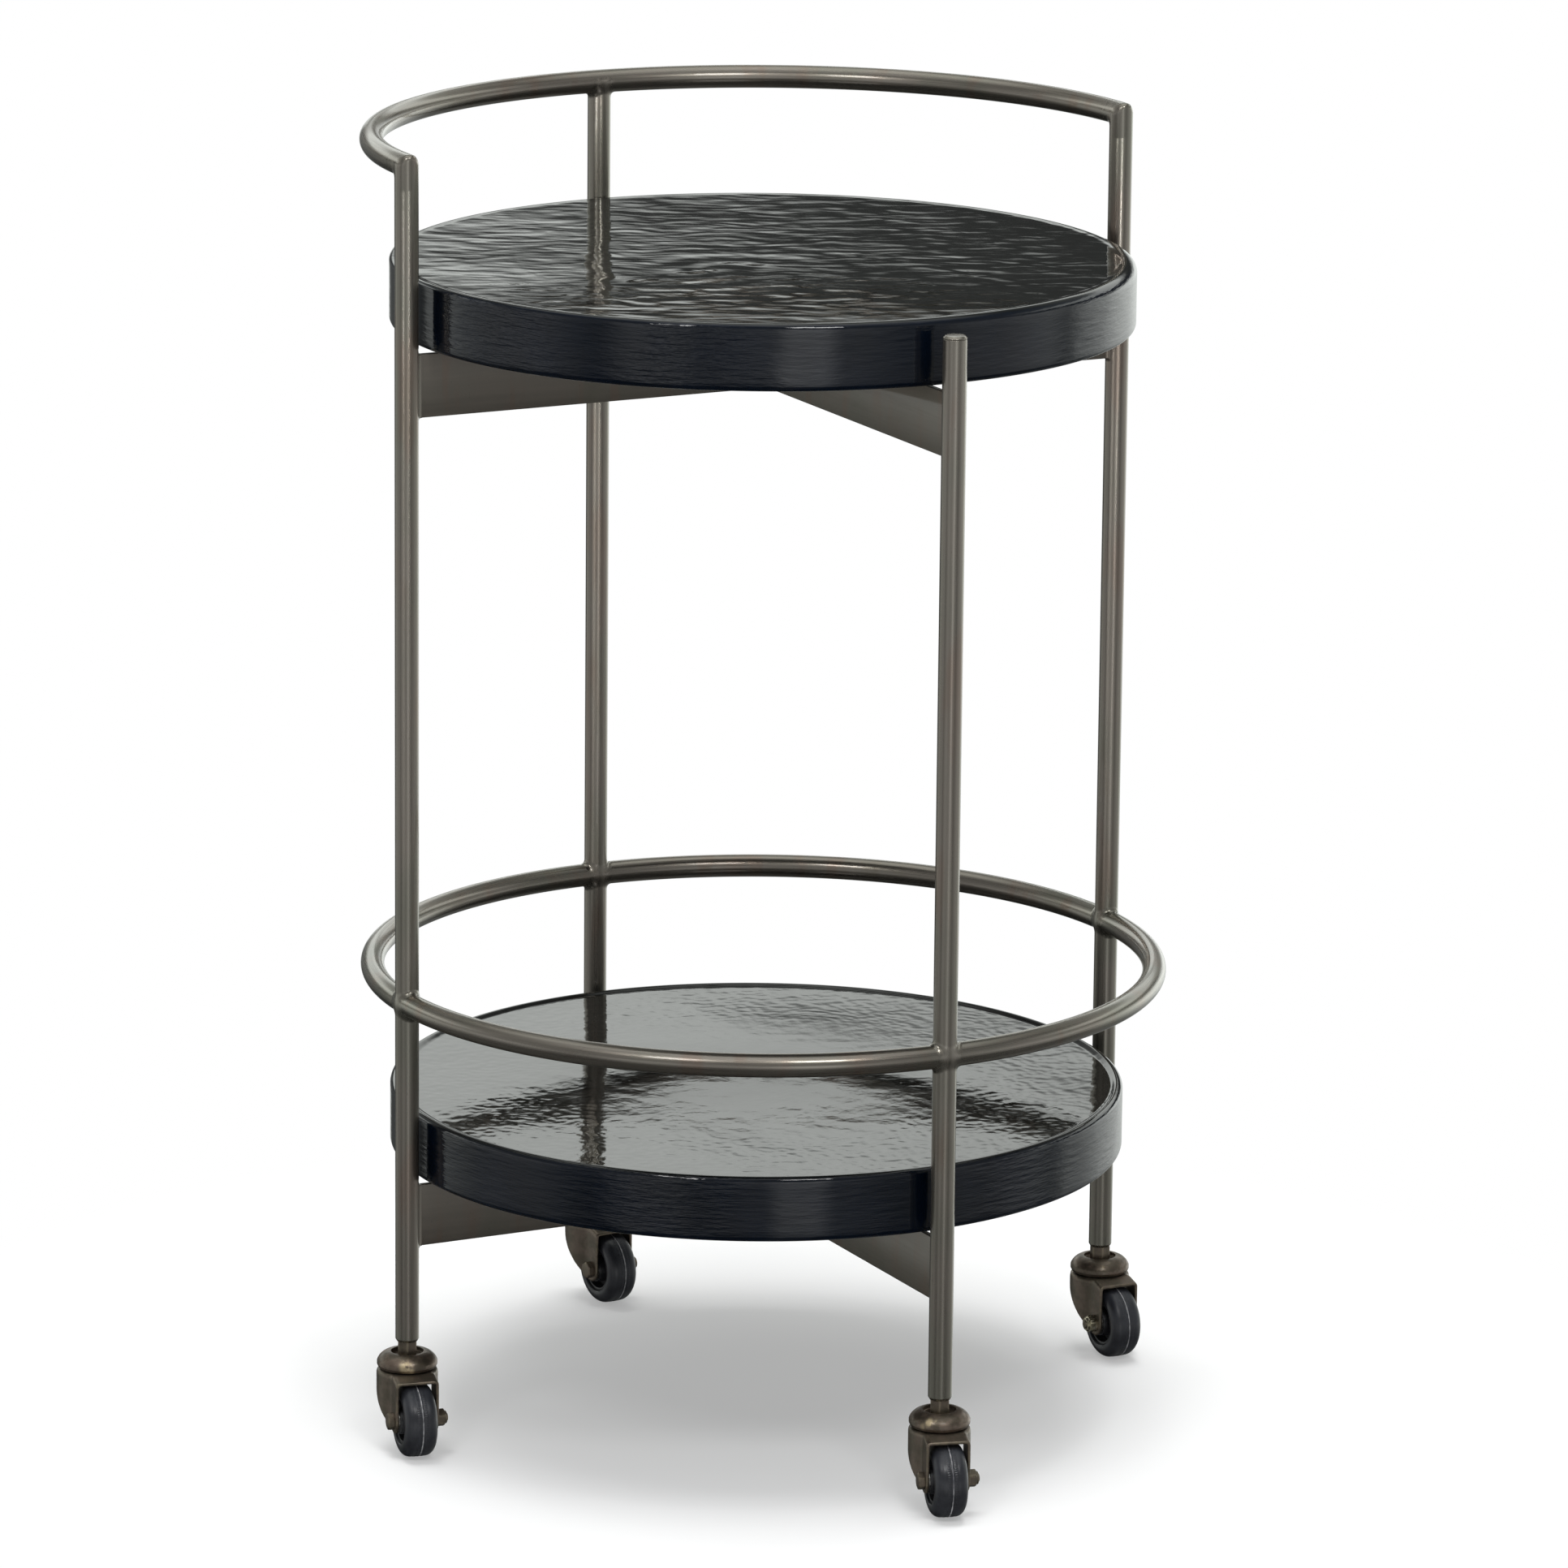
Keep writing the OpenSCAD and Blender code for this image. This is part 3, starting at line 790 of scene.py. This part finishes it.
def glass_disc(level):
    """A cast disc: smooth round rim, rippled top and a side that isn't quite true."""
    low, high = node_box(f"{level}_glass")
    bottom, top = low[2], high[2]
    foot, margin, taper = 3.5, 1.0, 3
    angle = np.linspace(0, 2 * math.pi, 720, endpoint=False)
    rim = rim_radius(level, angle)
    arc = np.linspace(0, math.pi / 2, 12)
    side = top - rim - bottom - foot
    outline = [(r, bottom) for r in (1.0, 60.0, 120.0, 180.0)]
    outline += [(GLASS_R - foot + foot * math.sin(a), bottom + foot - foot * math.cos(a)) for a in arc]
    outline += [(GLASS_R, bottom + foot + side * k) for k in np.linspace(0, 1, 10)[1:-1]]
    outline += [(GLASS_R - rim + rim * math.cos(a), top - rim + rim * math.sin(a)) for a in arc]
    outline += [((GLASS_R - rim) * k, top) for k in np.linspace(1, 0.005, 170)[1:]]
    radius, z = (np.array([np.broadcast_to(pair[i], angle.shape) for pair in outline])
                 for i in (0, 1))
    x, y = radius * np.cos(angle), radius * np.sin(angle)
    edge = GLASS_R - rim
    on_top = (1 - smooth(radius, edge - margin - taper, edge - margin)) * (z > top - 0.01)
    relief = top_relief(level, x, y)
    z = z + on_top * (relief - relief[on_top > 0].max())
    hollow = 0.12 * np.abs(ripple(angle * GLASS_R, z, 45, 31)) * (radius > GLASS_R - 0.5)
    centre = middle(f"{level}_glass")
    x = x * (1 - hollow / radius) + centre[0]
    y = y * (1 - hollow / radius) + centre[1]
    return loft(np.stack([x, y, z], axis=-1))


def build_glass():
    for level in ("upper", "lower"):
        piece(f"{level}_glass_disc", glass_disc(level), BLACK_GLASS, "frame", "black_glass",
              [f"{level}_glass"], sharp=50)


def build_bumpers():
    """Four soft pads on each cross, with rounded edges."""
    for level in ("upper", "lower"):
        low, high = node_box(f"{level}_bumpers")
        reach = high[0]
        length = 8.0
        pads = []
        for k in range(4):
            section = rounded([(-BAR_T / 2, low[2]), (BAR_T / 2, low[2]), (BAR_T / 2, high[2]),
                               (-BAR_T / 2, high[2])], 0.5, steps=3)
            inset = ((0, 0.6), (0.3, 0.2), (0.8, 0.0), (length - 0.8, 0.0), (length - 0.3, 0.2),
                     (length, 0.6))
            centre = (low[2] + high[2]) / 2
            rings = [[(reach - length + s, a * (1 - i / BAR_T), centre + (z - centre) * (1 - i / 4))
                      for a, z in section] for s, i in inset]
            pads.append(placed(loft(rings), Matrix.Rotation(k * math.pi / 2, 4, "Z")))
        piece(f"{level}_bumper_pads", joined(*pads), BUMPER_RUBBER, "frame", "bumper_rubber",
              [f"{level}_bumpers"])


# ---------- casters ----------

WHEEL_R = node_box("left_caster_tyre")[1][2] / 2
AXLE_Z = WHEEL_R
TYRE_W = 21.0
FORK_W = 28.0
SHEET = 2.0
CROWN_TOP = 52.6
NUT_FLATS = 10.0
HEX_R = NUT_FLATS / math.sqrt(3)


def caster_frame(side):
    """Local frame of a caster: Z is the swivel axis and the wheel trails along X."""
    pivot = JOINT_PLACE[f"{side}_swivel"]
    axle = JOINT_PLACE[f"{side}_wheel_roll"]
    heading = math.atan2(axle[1] - pivot[1], axle[0] - pivot[0])
    trail = math.hypot(axle[1] - pivot[1], axle[0] - pivot[0])
    return Matrix.Translation((pivot[0], pivot[1], 0)) @ Matrix.Rotation(heading, 4, "Z"), trail


def nut_side(side, matrix):
    """1 where the nut is on the local +Y side, and -1 where it is on the other."""
    local = matrix.inverted() @ Vector(middle(f"{side}_caster_axle_nut"))
    return 1 if local.y > 0 else -1


def hexagon_radius(angle, flats):
    """Distance from the middle of a hexagon to its edge, for each angle."""
    sector = math.pi / 3
    return flats / 2 / np.cos((angle + sector / 2) % sector - sector / 2)


def hexagon_rings(flats, levels, segments=96):
    """Rings of a hexagon whose corners are cut to a cone: levels are (height, widest radius)."""
    angle = np.linspace(0, 2 * math.pi, segments, endpoint=False)
    rings = []
    for height, widest in levels:
        r = np.minimum(hexagon_radius(angle, flats), widest)
        rings.append(np.stack([r * np.cos(angle), r * np.sin(angle), np.full(segments, height)],
                              axis=-1))
    return rings


def stem_shape():
    """Riveted head, kingpin, hexagon neck and shank."""
    floor_z = CROWN_TOP + 8.1
    flats = 11.5
    point = flats / math.sqrt(3)
    head = circles([(1, 49.0), (6.5, 49.1), (8.0, 49.9), (8.4, 50.9), (8.4, 51.7), (5.0, 51.7),
                    (5.0, floor_z)], 96)
    neck = hexagon_rings(flats, [(floor_z, point), (LEG_END_Z - 0.4, point), (LEG_END_Z, point - 0.3)])
    shank = circles([(4.8, LEG_END_Z), (4.8, LEG_END_Z + 18)], 96)
    return loft(head + neck + shank)


def cap_shape():
    """Domed cap with a sunk, dished centre and a lip rolled under."""
    dome = np.array([10.7, 54.4])
    radius = 9.0
    recess = 10.4
    start = math.acos((19.2 - dome[0]) / radius)
    end = math.acos((recess - dome[0]) / radius)
    outside = [dome + radius * np.array([math.cos(a), math.sin(a)])
               for a in np.linspace(start, end, 22)]
    inner = np.array([17.2, 57.2])
    lip = rounded([inner, (17.2, 53.5), (18.3, 53.5), (19.2, 55.2), outside[0]],
                  [0, 0.4, 0.5, 0.8, 0], closed=False)
    sunk = rounded([outside[-1], (recess, 60.7), (5.02, 60.7), (5.02, 59.2), (15.6, 59.2), inner],
                   [0.7, 0.8, 0.3, 0.2, 0.5, 0], closed=False)
    return turned_ring(lip[1:] + outside[1:-1] + sunk, 128)


def capsule(u, v, a, b, ra, rb):
    """Signed distance to the hull of two circles in a plane."""
    span_u, span_v = b[0] - a[0], b[1] - a[1]
    h = span_u ** 2 + span_v ** 2
    pu, pv = u - a[0], v - a[1]
    q0 = np.abs(pu * span_v - pv * span_u) / h
    q1 = (pu * span_u + pv * span_v) / h
    less = ra - rb
    c0 = math.sqrt(h - less * less)
    k = c0 * q1 - less * q0
    m = c0 * q0 + less * q1
    n = q0 * q0 + q1 * q1
    return np.where(k < 0, np.sqrt(h * n) - ra,
                    np.where(k > c0, np.sqrt(h * np.maximum(n + 1 - 2 * q1, 0)) - rb, m - ra))


def slab(value, low, high):
    return np.maximum(low - value, value - high)


def fork_shape(trail):
    """The pressed steel fork: a round crown, two cheeks and a raised race seat."""
    crown_r, front, back, seat_r, seat_h = 19.5, 27.0, -9.0, 16.4, 1.5
    bend, shear = 3.2, 0.9
    fall_start, fall = 18.0, 2.5
    neck = (1, 46)
    reach = math.hypot(trail - neck[0], AXLE_Z - neck[1])

    def distance(x, y, z):
        def plan(inset, to):
            circle = np.hypot(x, y) - (crown_r - inset)
            straight = np.maximum(slab(x, 0, to), np.abs(y) - (FORK_W / 2 - inset))
            return soft_min(circle, straight, 2.0)
        over = z + np.maximum(x - fall_start, 0) * fall / (front - fall_start) - CROWN_TOP
        cheek = capsule(x, z, neck, (trail, AXLE_Z), neck[0] - back, front - trail)
        cheek = np.minimum(cheek, np.maximum(slab(x, back, front), slab(z, 46, CROWN_TOP + 5)))
        flank = ((x - neck[0]) * (AXLE_Z - neck[1]) - (z - neck[1]) * (trail - neck[0])) / reach
        filled = np.maximum(np.maximum(flank, x - front), slab(z, AXLE_Z, CROWN_TOP + 5))
        cheek = np.minimum(cheek, filled)
        crown = np.maximum(slab(over, -SHEET, 5), x - front)
        side = np.minimum(cheek, crown)
        shell = soft_max(soft_max(plan(0, front + 9), over, bend), side, shear)
        hollow = soft_max(plan(SHEET, front + 9), over + SHEET, bend - SHEET + 0.6)
        shell = soft_max(shell, -hollow, shear)
        radius = np.hypot(x, y)
        seat = soft_max(radius - seat_r, slab(z, CROWN_TOP - SHEET / 2, CROWN_TOP + seat_h), 1.0)
        shell = soft_min(shell, seat, 0.8)
        under = np.maximum(radius - (seat_r - SHEET), slab(z, CROWN_TOP - 9, CROWN_TOP - 0.5))
        shell = soft_max(shell, -under, 0.5)
        shell = np.maximum(shell, 5.05 - radius)
        return soft_max(shell, 3.1 - np.hypot(x - trail, z - AXLE_Z), 0.4)

    return skin(distance, [-21, -21, AXLE_Z - 9.2], [28.2, 21, CROWN_TOP + 2.6], 0.62)


def bolt_shape():
    """Axle bolt along Z with its head at -Z, a cut corner hexagon, and a rolled thread tip."""
    start, tip = -FORK_W / 2, FORK_W / 2 + 7.3
    head = hexagon_rings(NUT_FLATS, [(start - 4.0, 4.2), (start - 3.9, 4.6),
                                     (start - 3.3, HEX_R - 0.1), (start - 0.5, HEX_R),
                                     (start, HEX_R - 0.4)])
    shaft = circles([(3.0, start), (3.0, tip - 3.4)], 96)
    thread = []
    for k in range(5):
        z = tip - 3.3 + 0.6 * k
        thread += circles([(2.95, z), (2.65, z + 0.3)], 96)
    end = circles([(2.5, tip - 0.2), (2.2, tip), (0.4, tip)], 96)
    return loft(head + shaft + thread + end)


def nut_shape():
    """Locking nut on the +Z cheek: cut corner hexagon with a domed collar, open for the bolt."""
    base = FORK_W / 2
    outside = hexagon_rings(NUT_FLATS, [(base, HEX_R - 0.4), (base + 0.4, HEX_R),
                                        (base + 4.6, HEX_R), (base + 4.9, 5.2)])
    collar = circles([(4.6, base + 5.0), (4.2, base + 5.4), (4.15, base + 6.0), (3.8, base + 6.45),
                      (3.3, base + 6.5), (3.02, base + 6.2), (3.02, base)], 96)
    return loft(outside + collar, closed=True)


def wheel_core_shape():
    """Hub, dished web and rim."""
    bore, hub, web, rim, half_hub, half_rim = 4.55, 8.5, 2.5, 15.0, 11.1, 9.0
    half = [(bore, half_hub), (hub, half_hub), (hub + 0.6, web), (12.6, web), (13.0, half_rim),
            (rim, half_rim)]
    outline = [(r, -z) for r, z in half] + [(r, z) for r, z in reversed(half)]
    return turned_ring(rounded(outline, 0.6, steps=3), 96)


RIB_COUNT = 104
RIB_STEPS = 4


def tyre_shape():
    """Rounded tread with fine cross ribs on both sides of the mould line."""
    tread = WHEEL_R - 0.2
    half, shoulder, bead = TYRE_W / 2, 6.0, 15.0
    right = [(bead, half - 0.6), (bead + 0.6, half), (tread - shoulder, half)]
    right += [(tread - shoulder + shoulder * math.sin(a), half - shoulder + shoulder * math.cos(a))
              for a in np.linspace(0.12, math.pi / 2, 10)]
    right += [(tread, v) for v in (3.6, 3.3, 3.0, 1.6, 1.3, 1.0)]
    right += [(tread, 0.62), (WHEEL_R - 0.02, 0.45)]
    outline = right + [(r, -v) for r, v in reversed(right)]

    def ribs(r, z, angle):
        step = np.arange(len(angle)) % RIB_STEPS
        across = smooth(np.abs(z), 1.25, 1.6) * (1 - smooth(np.abs(z), 3.0, 3.35))
        return r + 0.14 * across * (step < RIB_STEPS // 2), z

    return turned_ring(outline, RIB_COUNT * RIB_STEPS, ribs)


def line_shape():
    """The pale flash that stands on the mould line, with small breaks in its width."""
    def ragged(r, z, angle):
        wide = 0.30 + 0.22 * ripple(angle * 30, angle * 0 + 7, 3.0, 77)
        return r, np.sign(z) * wide * (np.abs(z) > 0)
    outline = [(WHEEL_R - 0.4, -0.3), (WHEEL_R - 0.005, -0.3), (WHEEL_R - 0.005, 0.3),
               (WHEEL_R - 0.4, 0.3)]
    return turned_ring(outline, 260, ragged)


# Brass spots on each cap, partly rubbing and partly painted highlight; the right cap's spot is a
# painted highlight.
CAP_RUBS_AND_GLINTS = {"left": ((-117, 57.5, 4.5, 1.0), (-108, 55.0, 3.0, 0.8)),
               "front": ((-139, 59.5, 2.6, 1.0), (-150, 56.5, 3.0, 0.6), (-125, 60.5, 1.6, 0.5)),
               "right": ((-112, 60.0, 2.0, 0.4),), "back": ()}


def rub_and_glint_marks(side, patches):
    """Spots on a cap, partly rubbing and partly painted highlight: each is a direction in degrees, a
    height, a size and a strength.
    """
    xy = POST_XY[side]

    def marks(p):
        total = np.zeros(len(p))
        for direction, height, size, strength in patches:
            a = math.radians(direction)
            radius = np.hypot(p[:, 0] - xy[0], p[:, 1] - xy[1])
            dx = p[:, 0] - xy[0] - radius * math.cos(a)
            dy = p[:, 1] - xy[1] - radius * math.sin(a)
            away = np.hypot(dx, dy) ** 2 + (p[:, 2] - height) ** 2
            total = np.maximum(total, strength * np.exp(-away / size ** 2))
        return total

    return marks


def no_marks(p):
    return np.zeros(len(p))


def build_casters():
    stem, cap, bolt, nut = stem_shape(), cap_shape(), bolt_shape(), nut_shape()
    core, tyre, line = wheel_core_shape(), tyre_shape(), line_shape()
    fork = fork_shape(caster_frame(SIDES[0])[1])
    hex_turn = Matrix.Rotation(math.radians(18), 4, "Z")
    for side in SIDES:
        matrix, trail = caster_frame(side)
        sign = nut_side(side, matrix)
        axle = (matrix @ Matrix.Translation((trail, 0, AXLE_Z))
                @ Matrix.Rotation(-sign * math.pi / 2, 4, "X"))
        node = f"{side}_caster_"
        body, wheel = f"{side}_caster", f"{side}_wheel"
        piece(node + "hex_stem", placed(stem, matrix @ hex_turn), CASTER_BRONZE, "frame",
              "caster_bronze", [node + "stem"], wear=no_marks)
        # The cap's spots are partly painted highlight.
        piece(node + "domed_cap", placed(cap, matrix), CAP_BRONZE, "frame", "caster_bronze",
              [node + "race_cap"], wear=rub_and_glint_marks(side, CAP_RUBS_AND_GLINTS[side]), worn_edges=0.3)
        piece(node + "pressed_fork", placed(fork, matrix), CASTER_BRONZE, body, "caster_bronze",
              [node + "fork"], sharp=50, wear=no_marks)
        piece(node + "hex_bolt", placed(bolt, axle), CASTER_BRONZE, body, "caster_bronze",
              [node + "axle_bolt"], wear=no_marks)
        finish = BRIGHT_ZINC if side == "right" else CASTER_BRONZE
        piece(node + "lock_nut", placed(nut, axle), finish, body, "caster_bronze",
              [node + "axle_nut"], wear=no_marks)
        piece(node + "hub_core", placed(core, axle), WHEEL_PLASTIC, wheel, "wheel_plastic",
              [node + "wheel_core"])
        piece(node + "ribbed_tyre", placed(tyre, axle), TYRE_RUBBER, wheel, "tyre_rubber",
              [node + "tyre"], sharp=50)
        piece(node + "mould_line", placed(line, axle), TYRE_LINE, wheel, "tyre_rubber")


def finish_kept_nodes():
    """CAD nodes that stay as they are get the bearing steel."""
    for obj in frame["nodes"].values():
        if not obj.hide_render:
            obj.data.materials.clear()
            obj.data.materials.append(BEARING_STEEL)


# ---------- studio ----------

CAMERA_AZIMUTH = math.radians(-26.78)
CAMERA_ELEVATION = math.radians(13.635)
CAMERA_ROLL = math.radians(0.566)
CAMERA_DISTANCE = 5.563
AIM = Vector((0, 0, 0.4078))
AIM_RIGHT = 0.01205
SENSOR = 36.0
LENS = 200.5
LIGHT_AIM_Z = 0.4

BACK = Vector((math.sin(CAMERA_AZIMUTH) * math.cos(CAMERA_ELEVATION),
               -math.cos(CAMERA_AZIMUTH) * math.cos(CAMERA_ELEVATION),
               math.sin(CAMERA_ELEVATION)))
RIGHT = Vector((math.cos(CAMERA_AZIMUTH), math.sin(CAMERA_AZIMUTH), 0))


def build_camera():
    data = bpy.data.cameras.new("camera")
    data.sensor_width, data.lens = SENSOR, LENS
    data.clip_start, data.clip_end = 0.1, 100
    camera = bpy.data.objects.new("camera", data)
    bpy.context.scene.collection.objects.link(camera)
    up = BACK.cross(RIGHT)
    right = RIGHT * math.cos(CAMERA_ROLL) + up * math.sin(CAMERA_ROLL)
    up = up * math.cos(CAMERA_ROLL) - RIGHT * math.sin(CAMERA_ROLL)
    place = AIM + RIGHT * AIM_RIGHT + BACK * CAMERA_DISTANCE
    camera.matrix_world = Matrix((
        (right.x, up.x, BACK.x, place.x), (right.y, up.y, BACK.y, place.y),
        (right.z, up.z, BACK.z, place.z), (0, 0, 0, 1)))
    bpy.context.scene.camera = camera


def area_light(name, azimuth, elevation, distance, size, watts):
    """A soft light, width by height, that looks at the cart. Azimuth is from the camera, rightwards."""
    data = bpy.data.lights.new(name, "AREA")
    data.shape, data.energy = "RECTANGLE", watts
    data.size, data.size_y = size
    light = bpy.data.objects.new(name, data)
    bpy.context.scene.collection.objects.link(light)
    a, e = CAMERA_AZIMUTH + math.radians(azimuth), math.radians(elevation)
    way = Vector((math.sin(a) * math.cos(e), -math.cos(a) * math.cos(e), math.sin(e)))
    light.location = Vector((0, 0, LIGHT_AIM_Z)) + way * distance
    light.rotation_mode = "QUATERNION"
    light.rotation_quaternion = way.to_track_quat("Z", "Y")
    light.visible_camera = False
    return light


def light_only(light, start):
    """Lets a light fall only on the meshes whose names start like that."""
    group = bpy.data.collections.new(light.name + "_on")
    for obj in bpy.data.objects:
        if obj.type == "MESH" and obj.name.startswith(start):
            group.objects.link(obj)
    light.light_linking.receiver_collection = group


def ramp(tree, value, levels, turn):
    """Brightness by direction. Levels are (degrees, brightness), and value 0 to 1 spans the turn."""
    made = add(tree, "ShaderNodeValToRGB", {"Fac": value})
    bar = made.color_ramp
    bar.interpolation = "EASE"
    while len(bar.elements) < len(levels):
        bar.elements.new(0.5)
    for element, (degrees, brightness) in zip(bar.elements, levels):
        grey = brightness / PEAK
        element.position = degrees / turn + 0.5
        element.color = (grey, grey, grey, 1)
    return made.outputs[0]


# Brightness by direction, as (degrees, brightness). AROUND_LEVELS turns from the camera to its
# right and is dimmed by height with HORIZON_LEVELS. Higher up, BEHIND_LEVELS and AHEAD_LEVELS go
# by height, on the side behind the cart and on the camera's side.
PEAK = 2.0
PANEL_LEAN = 0.95
LEAN_REACH = 0.06
# Lights, with angles in degrees, distances and sizes in metres and strengths in watts.
OVERHEAD = (180, 88, 2.3, (1.6, 1.6), 80)
KEYS = {"key_right": (18, 42, 2.6, (0.6, 0.5), 12), "key_left": (-28, 40, 2.6, (0.6, 0.5), 9)}
STRIP_ELEVATION, STRIP_DISTANCE, STRIP_SIZE = 11.8, 2.0, (0.035, 1.0)
STRIP_WATTS = {"back_post": 9, "right_post": 6, "left_post": 2.5}
STRIP_AZIMUTHS = {"left": -31, "right": 19}
AROUND_LEVELS = ((-180, 0.6), (-172, 0.6), (-168, 0.1), (-129, 0.1), (-124, 0.52), (-112, 0.55),
                 (-96, 0.42), (-74, 0.45), (-52, 0.2), (-38, 0.5), (-26, 0.5), (-18, 0.33), (2, 0.4),
                 (10, 0.95), (18, 0.95), (26, 0.40), (49, 0.22), (72, 0.42), (97, 0.6), (107, 0.4),
                 (116, 0.85), (142, 1.2), (160, 1.0), (173, 0.75), (180, 0.6))
HORIZON_LEVELS = ((-90, 0.1), (-30, 0.15), (-21, 0.5), (-13.6, 1.0), (-5, 1.6), (0, 1.6), (5, 0.8))
BEHIND_LEVELS = ((0, 0.8), (3, 0.4), (5.5, 0.05), (9.8, 0.06), (12.3, 0.5), (14.6, 1.4), (22, 1.5),
                 (28, 0.3), (45, 0.15), (62, 1.1), (90, 1.3))
AHEAD_LEVELS = ((0, 0.7), (6, 0.35), (20, 0.25), (40, 0.2), (60, 0.6), (90, 1.3))


def build_world():
    """White to the camera; to everything else, a studio of soft panels and dark gaps."""
    world = bpy.data.worlds.new("studio")
    bpy.context.scene.world = world
    world.use_nodes = True
    tree = world.node_tree
    way = add(tree, "ShaderNodeTexCoord").outputs["Generated"]
    flat = Vector((BACK.x, BACK.y, 0)).normalized()

    def along(axis):
        return add(tree, "ShaderNodeVectorMath", {0: way, 1: tuple(axis)},
                   operation="DOT_PRODUCT").outputs["Value"]

    turn = sums(tree, "ARCTAN2", along(RIGHT), along(flat))
    turn = sums(tree, "DIVIDE", turn, 2 * math.pi)
    turn = sums(tree, "ADD", turn, 0.5)
    rise = sums(tree, "ARCSINE", along(Vector((0, 0, 1))))
    rise = sums(tree, "DIVIDE", rise, math.pi)
    rise = sums(tree, "ADD", rise, 0.5)

    around = ramp(tree, turn, AROUND_LEVELS, 360)
    near_level = ramp(tree, rise, HORIZON_LEVELS, 180)
    lean = sums(tree, "MAXIMUM", sums(tree, "MINIMUM", along(RIGHT), LEAN_REACH), -LEAN_REACH)
    leaning_rise = sums(tree, "MULTIPLY_ADD", lean, -PANEL_LEAN / math.pi, rise)
    behind = ramp(tree, leaning_rise, BEHIND_LEVELS, 180)
    ahead = ramp(tree, rise, AHEAD_LEVELS, 180)
    front = span(tree, along(flat), -0.35, 0.15)
    upper = mixed(tree, front, behind, ahead)
    band = times(tree, around, near_level)
    over_horizon = span(tree, rise, 3 / 180 + 0.5, 7 / 180 + 0.5)
    studio = mixed(tree, over_horizon, band, upper)
    tint = mixed(tree, front, (0.965, 1.0, 0.965), (0.97, 0.985, 1.0))
    scale = mixed(tree, over_horizon, (PEAK, PEAK, PEAK), (1, 1, 1))
    scaled = times(tree, times(tree, studio, tint), scale)
    light = add(tree, "ShaderNodeBackground", {"Color": scaled, "Strength": PEAK})
    white = add(tree, "ShaderNodeBackground", {"Color": (1, 1, 1, 1), "Strength": 1.0})
    seen = add(tree, "ShaderNodeLightPath").outputs["Is Camera Ray"]
    both = add(tree, "ShaderNodeMixShader", {0: seen, 1: light.outputs[0], 2: white.outputs[0]})
    tree.links.new(both.outputs[0], tree.nodes["World Output"].inputs["Surface"])


FLOOR_GLOW = 0.33


def build_floor():
    """A pale round floor that fades to white away from the cart."""
    points, faces = turned([(0.001, -4.0), (3000, -4.0), (3000, 0.0), (0.001, 0.0)], 96)
    mesh = bpy.data.meshes.new("floor")
    mesh.from_pydata((points * MM).tolist(), [], faces)
    floor = bpy.data.objects.new("floor", mesh)
    bpy.context.scene.collection.objects.link(floor)
    made = bpy.data.materials.new("floor")
    made.use_nodes = True
    tree = made.node_tree
    tree.nodes.clear()
    distance = add(tree, "ShaderNodeVectorMath", {0: place_of(tree)}, operation="LENGTH").outputs[1]
    lit = add(tree, "ShaderNodeBsdfDiffuse", {"Color": (0.9, 0.9, 0.9, 1)}).outputs[0]
    white = add(tree, "ShaderNodeEmission", {"Color": (1, 1, 1, 1), "Strength": 1.0}).outputs[0]
    share = span(tree, distance, 0.34, 0.62, FLOOR_GLOW, 1.0)
    both = add(tree, "ShaderNodeMixShader", {0: share, 1: lit, 2: white})
    end = add(tree, "ShaderNodeOutputMaterial")
    tree.links.new(both.outputs[0], end.inputs["Surface"])
    mesh.materials.append(made)
    floor.visible_glossy = False


def build_studio():
    bpy.context.scene.view_settings.view_transform = "Standard"
    bpy.context.scene.view_settings.look = "None"
    build_world()
    build_floor()
    overhead = area_light("overhead", *OVERHEAD)
    overhead.visible_glossy = False
    for name, settings in KEYS.items():
        area_light(name, *settings)
    for post, watts in STRIP_WATTS.items():
        for side, azimuth in STRIP_AZIMUTHS.items():
            strip = area_light(f"{post}_strip_{side}", azimuth, STRIP_ELEVATION, STRIP_DISTANCE,
                               STRIP_SIZE, watts)
            light_only(strip, post)


build_camera()
build_posts()
build_rings()
build_welds()
for end in ("left", "right"):
    rail_corner(end)
build_crosses()
build_glass()
build_bumpers()
build_casters()
finish_kept_nodes()
build_studio()
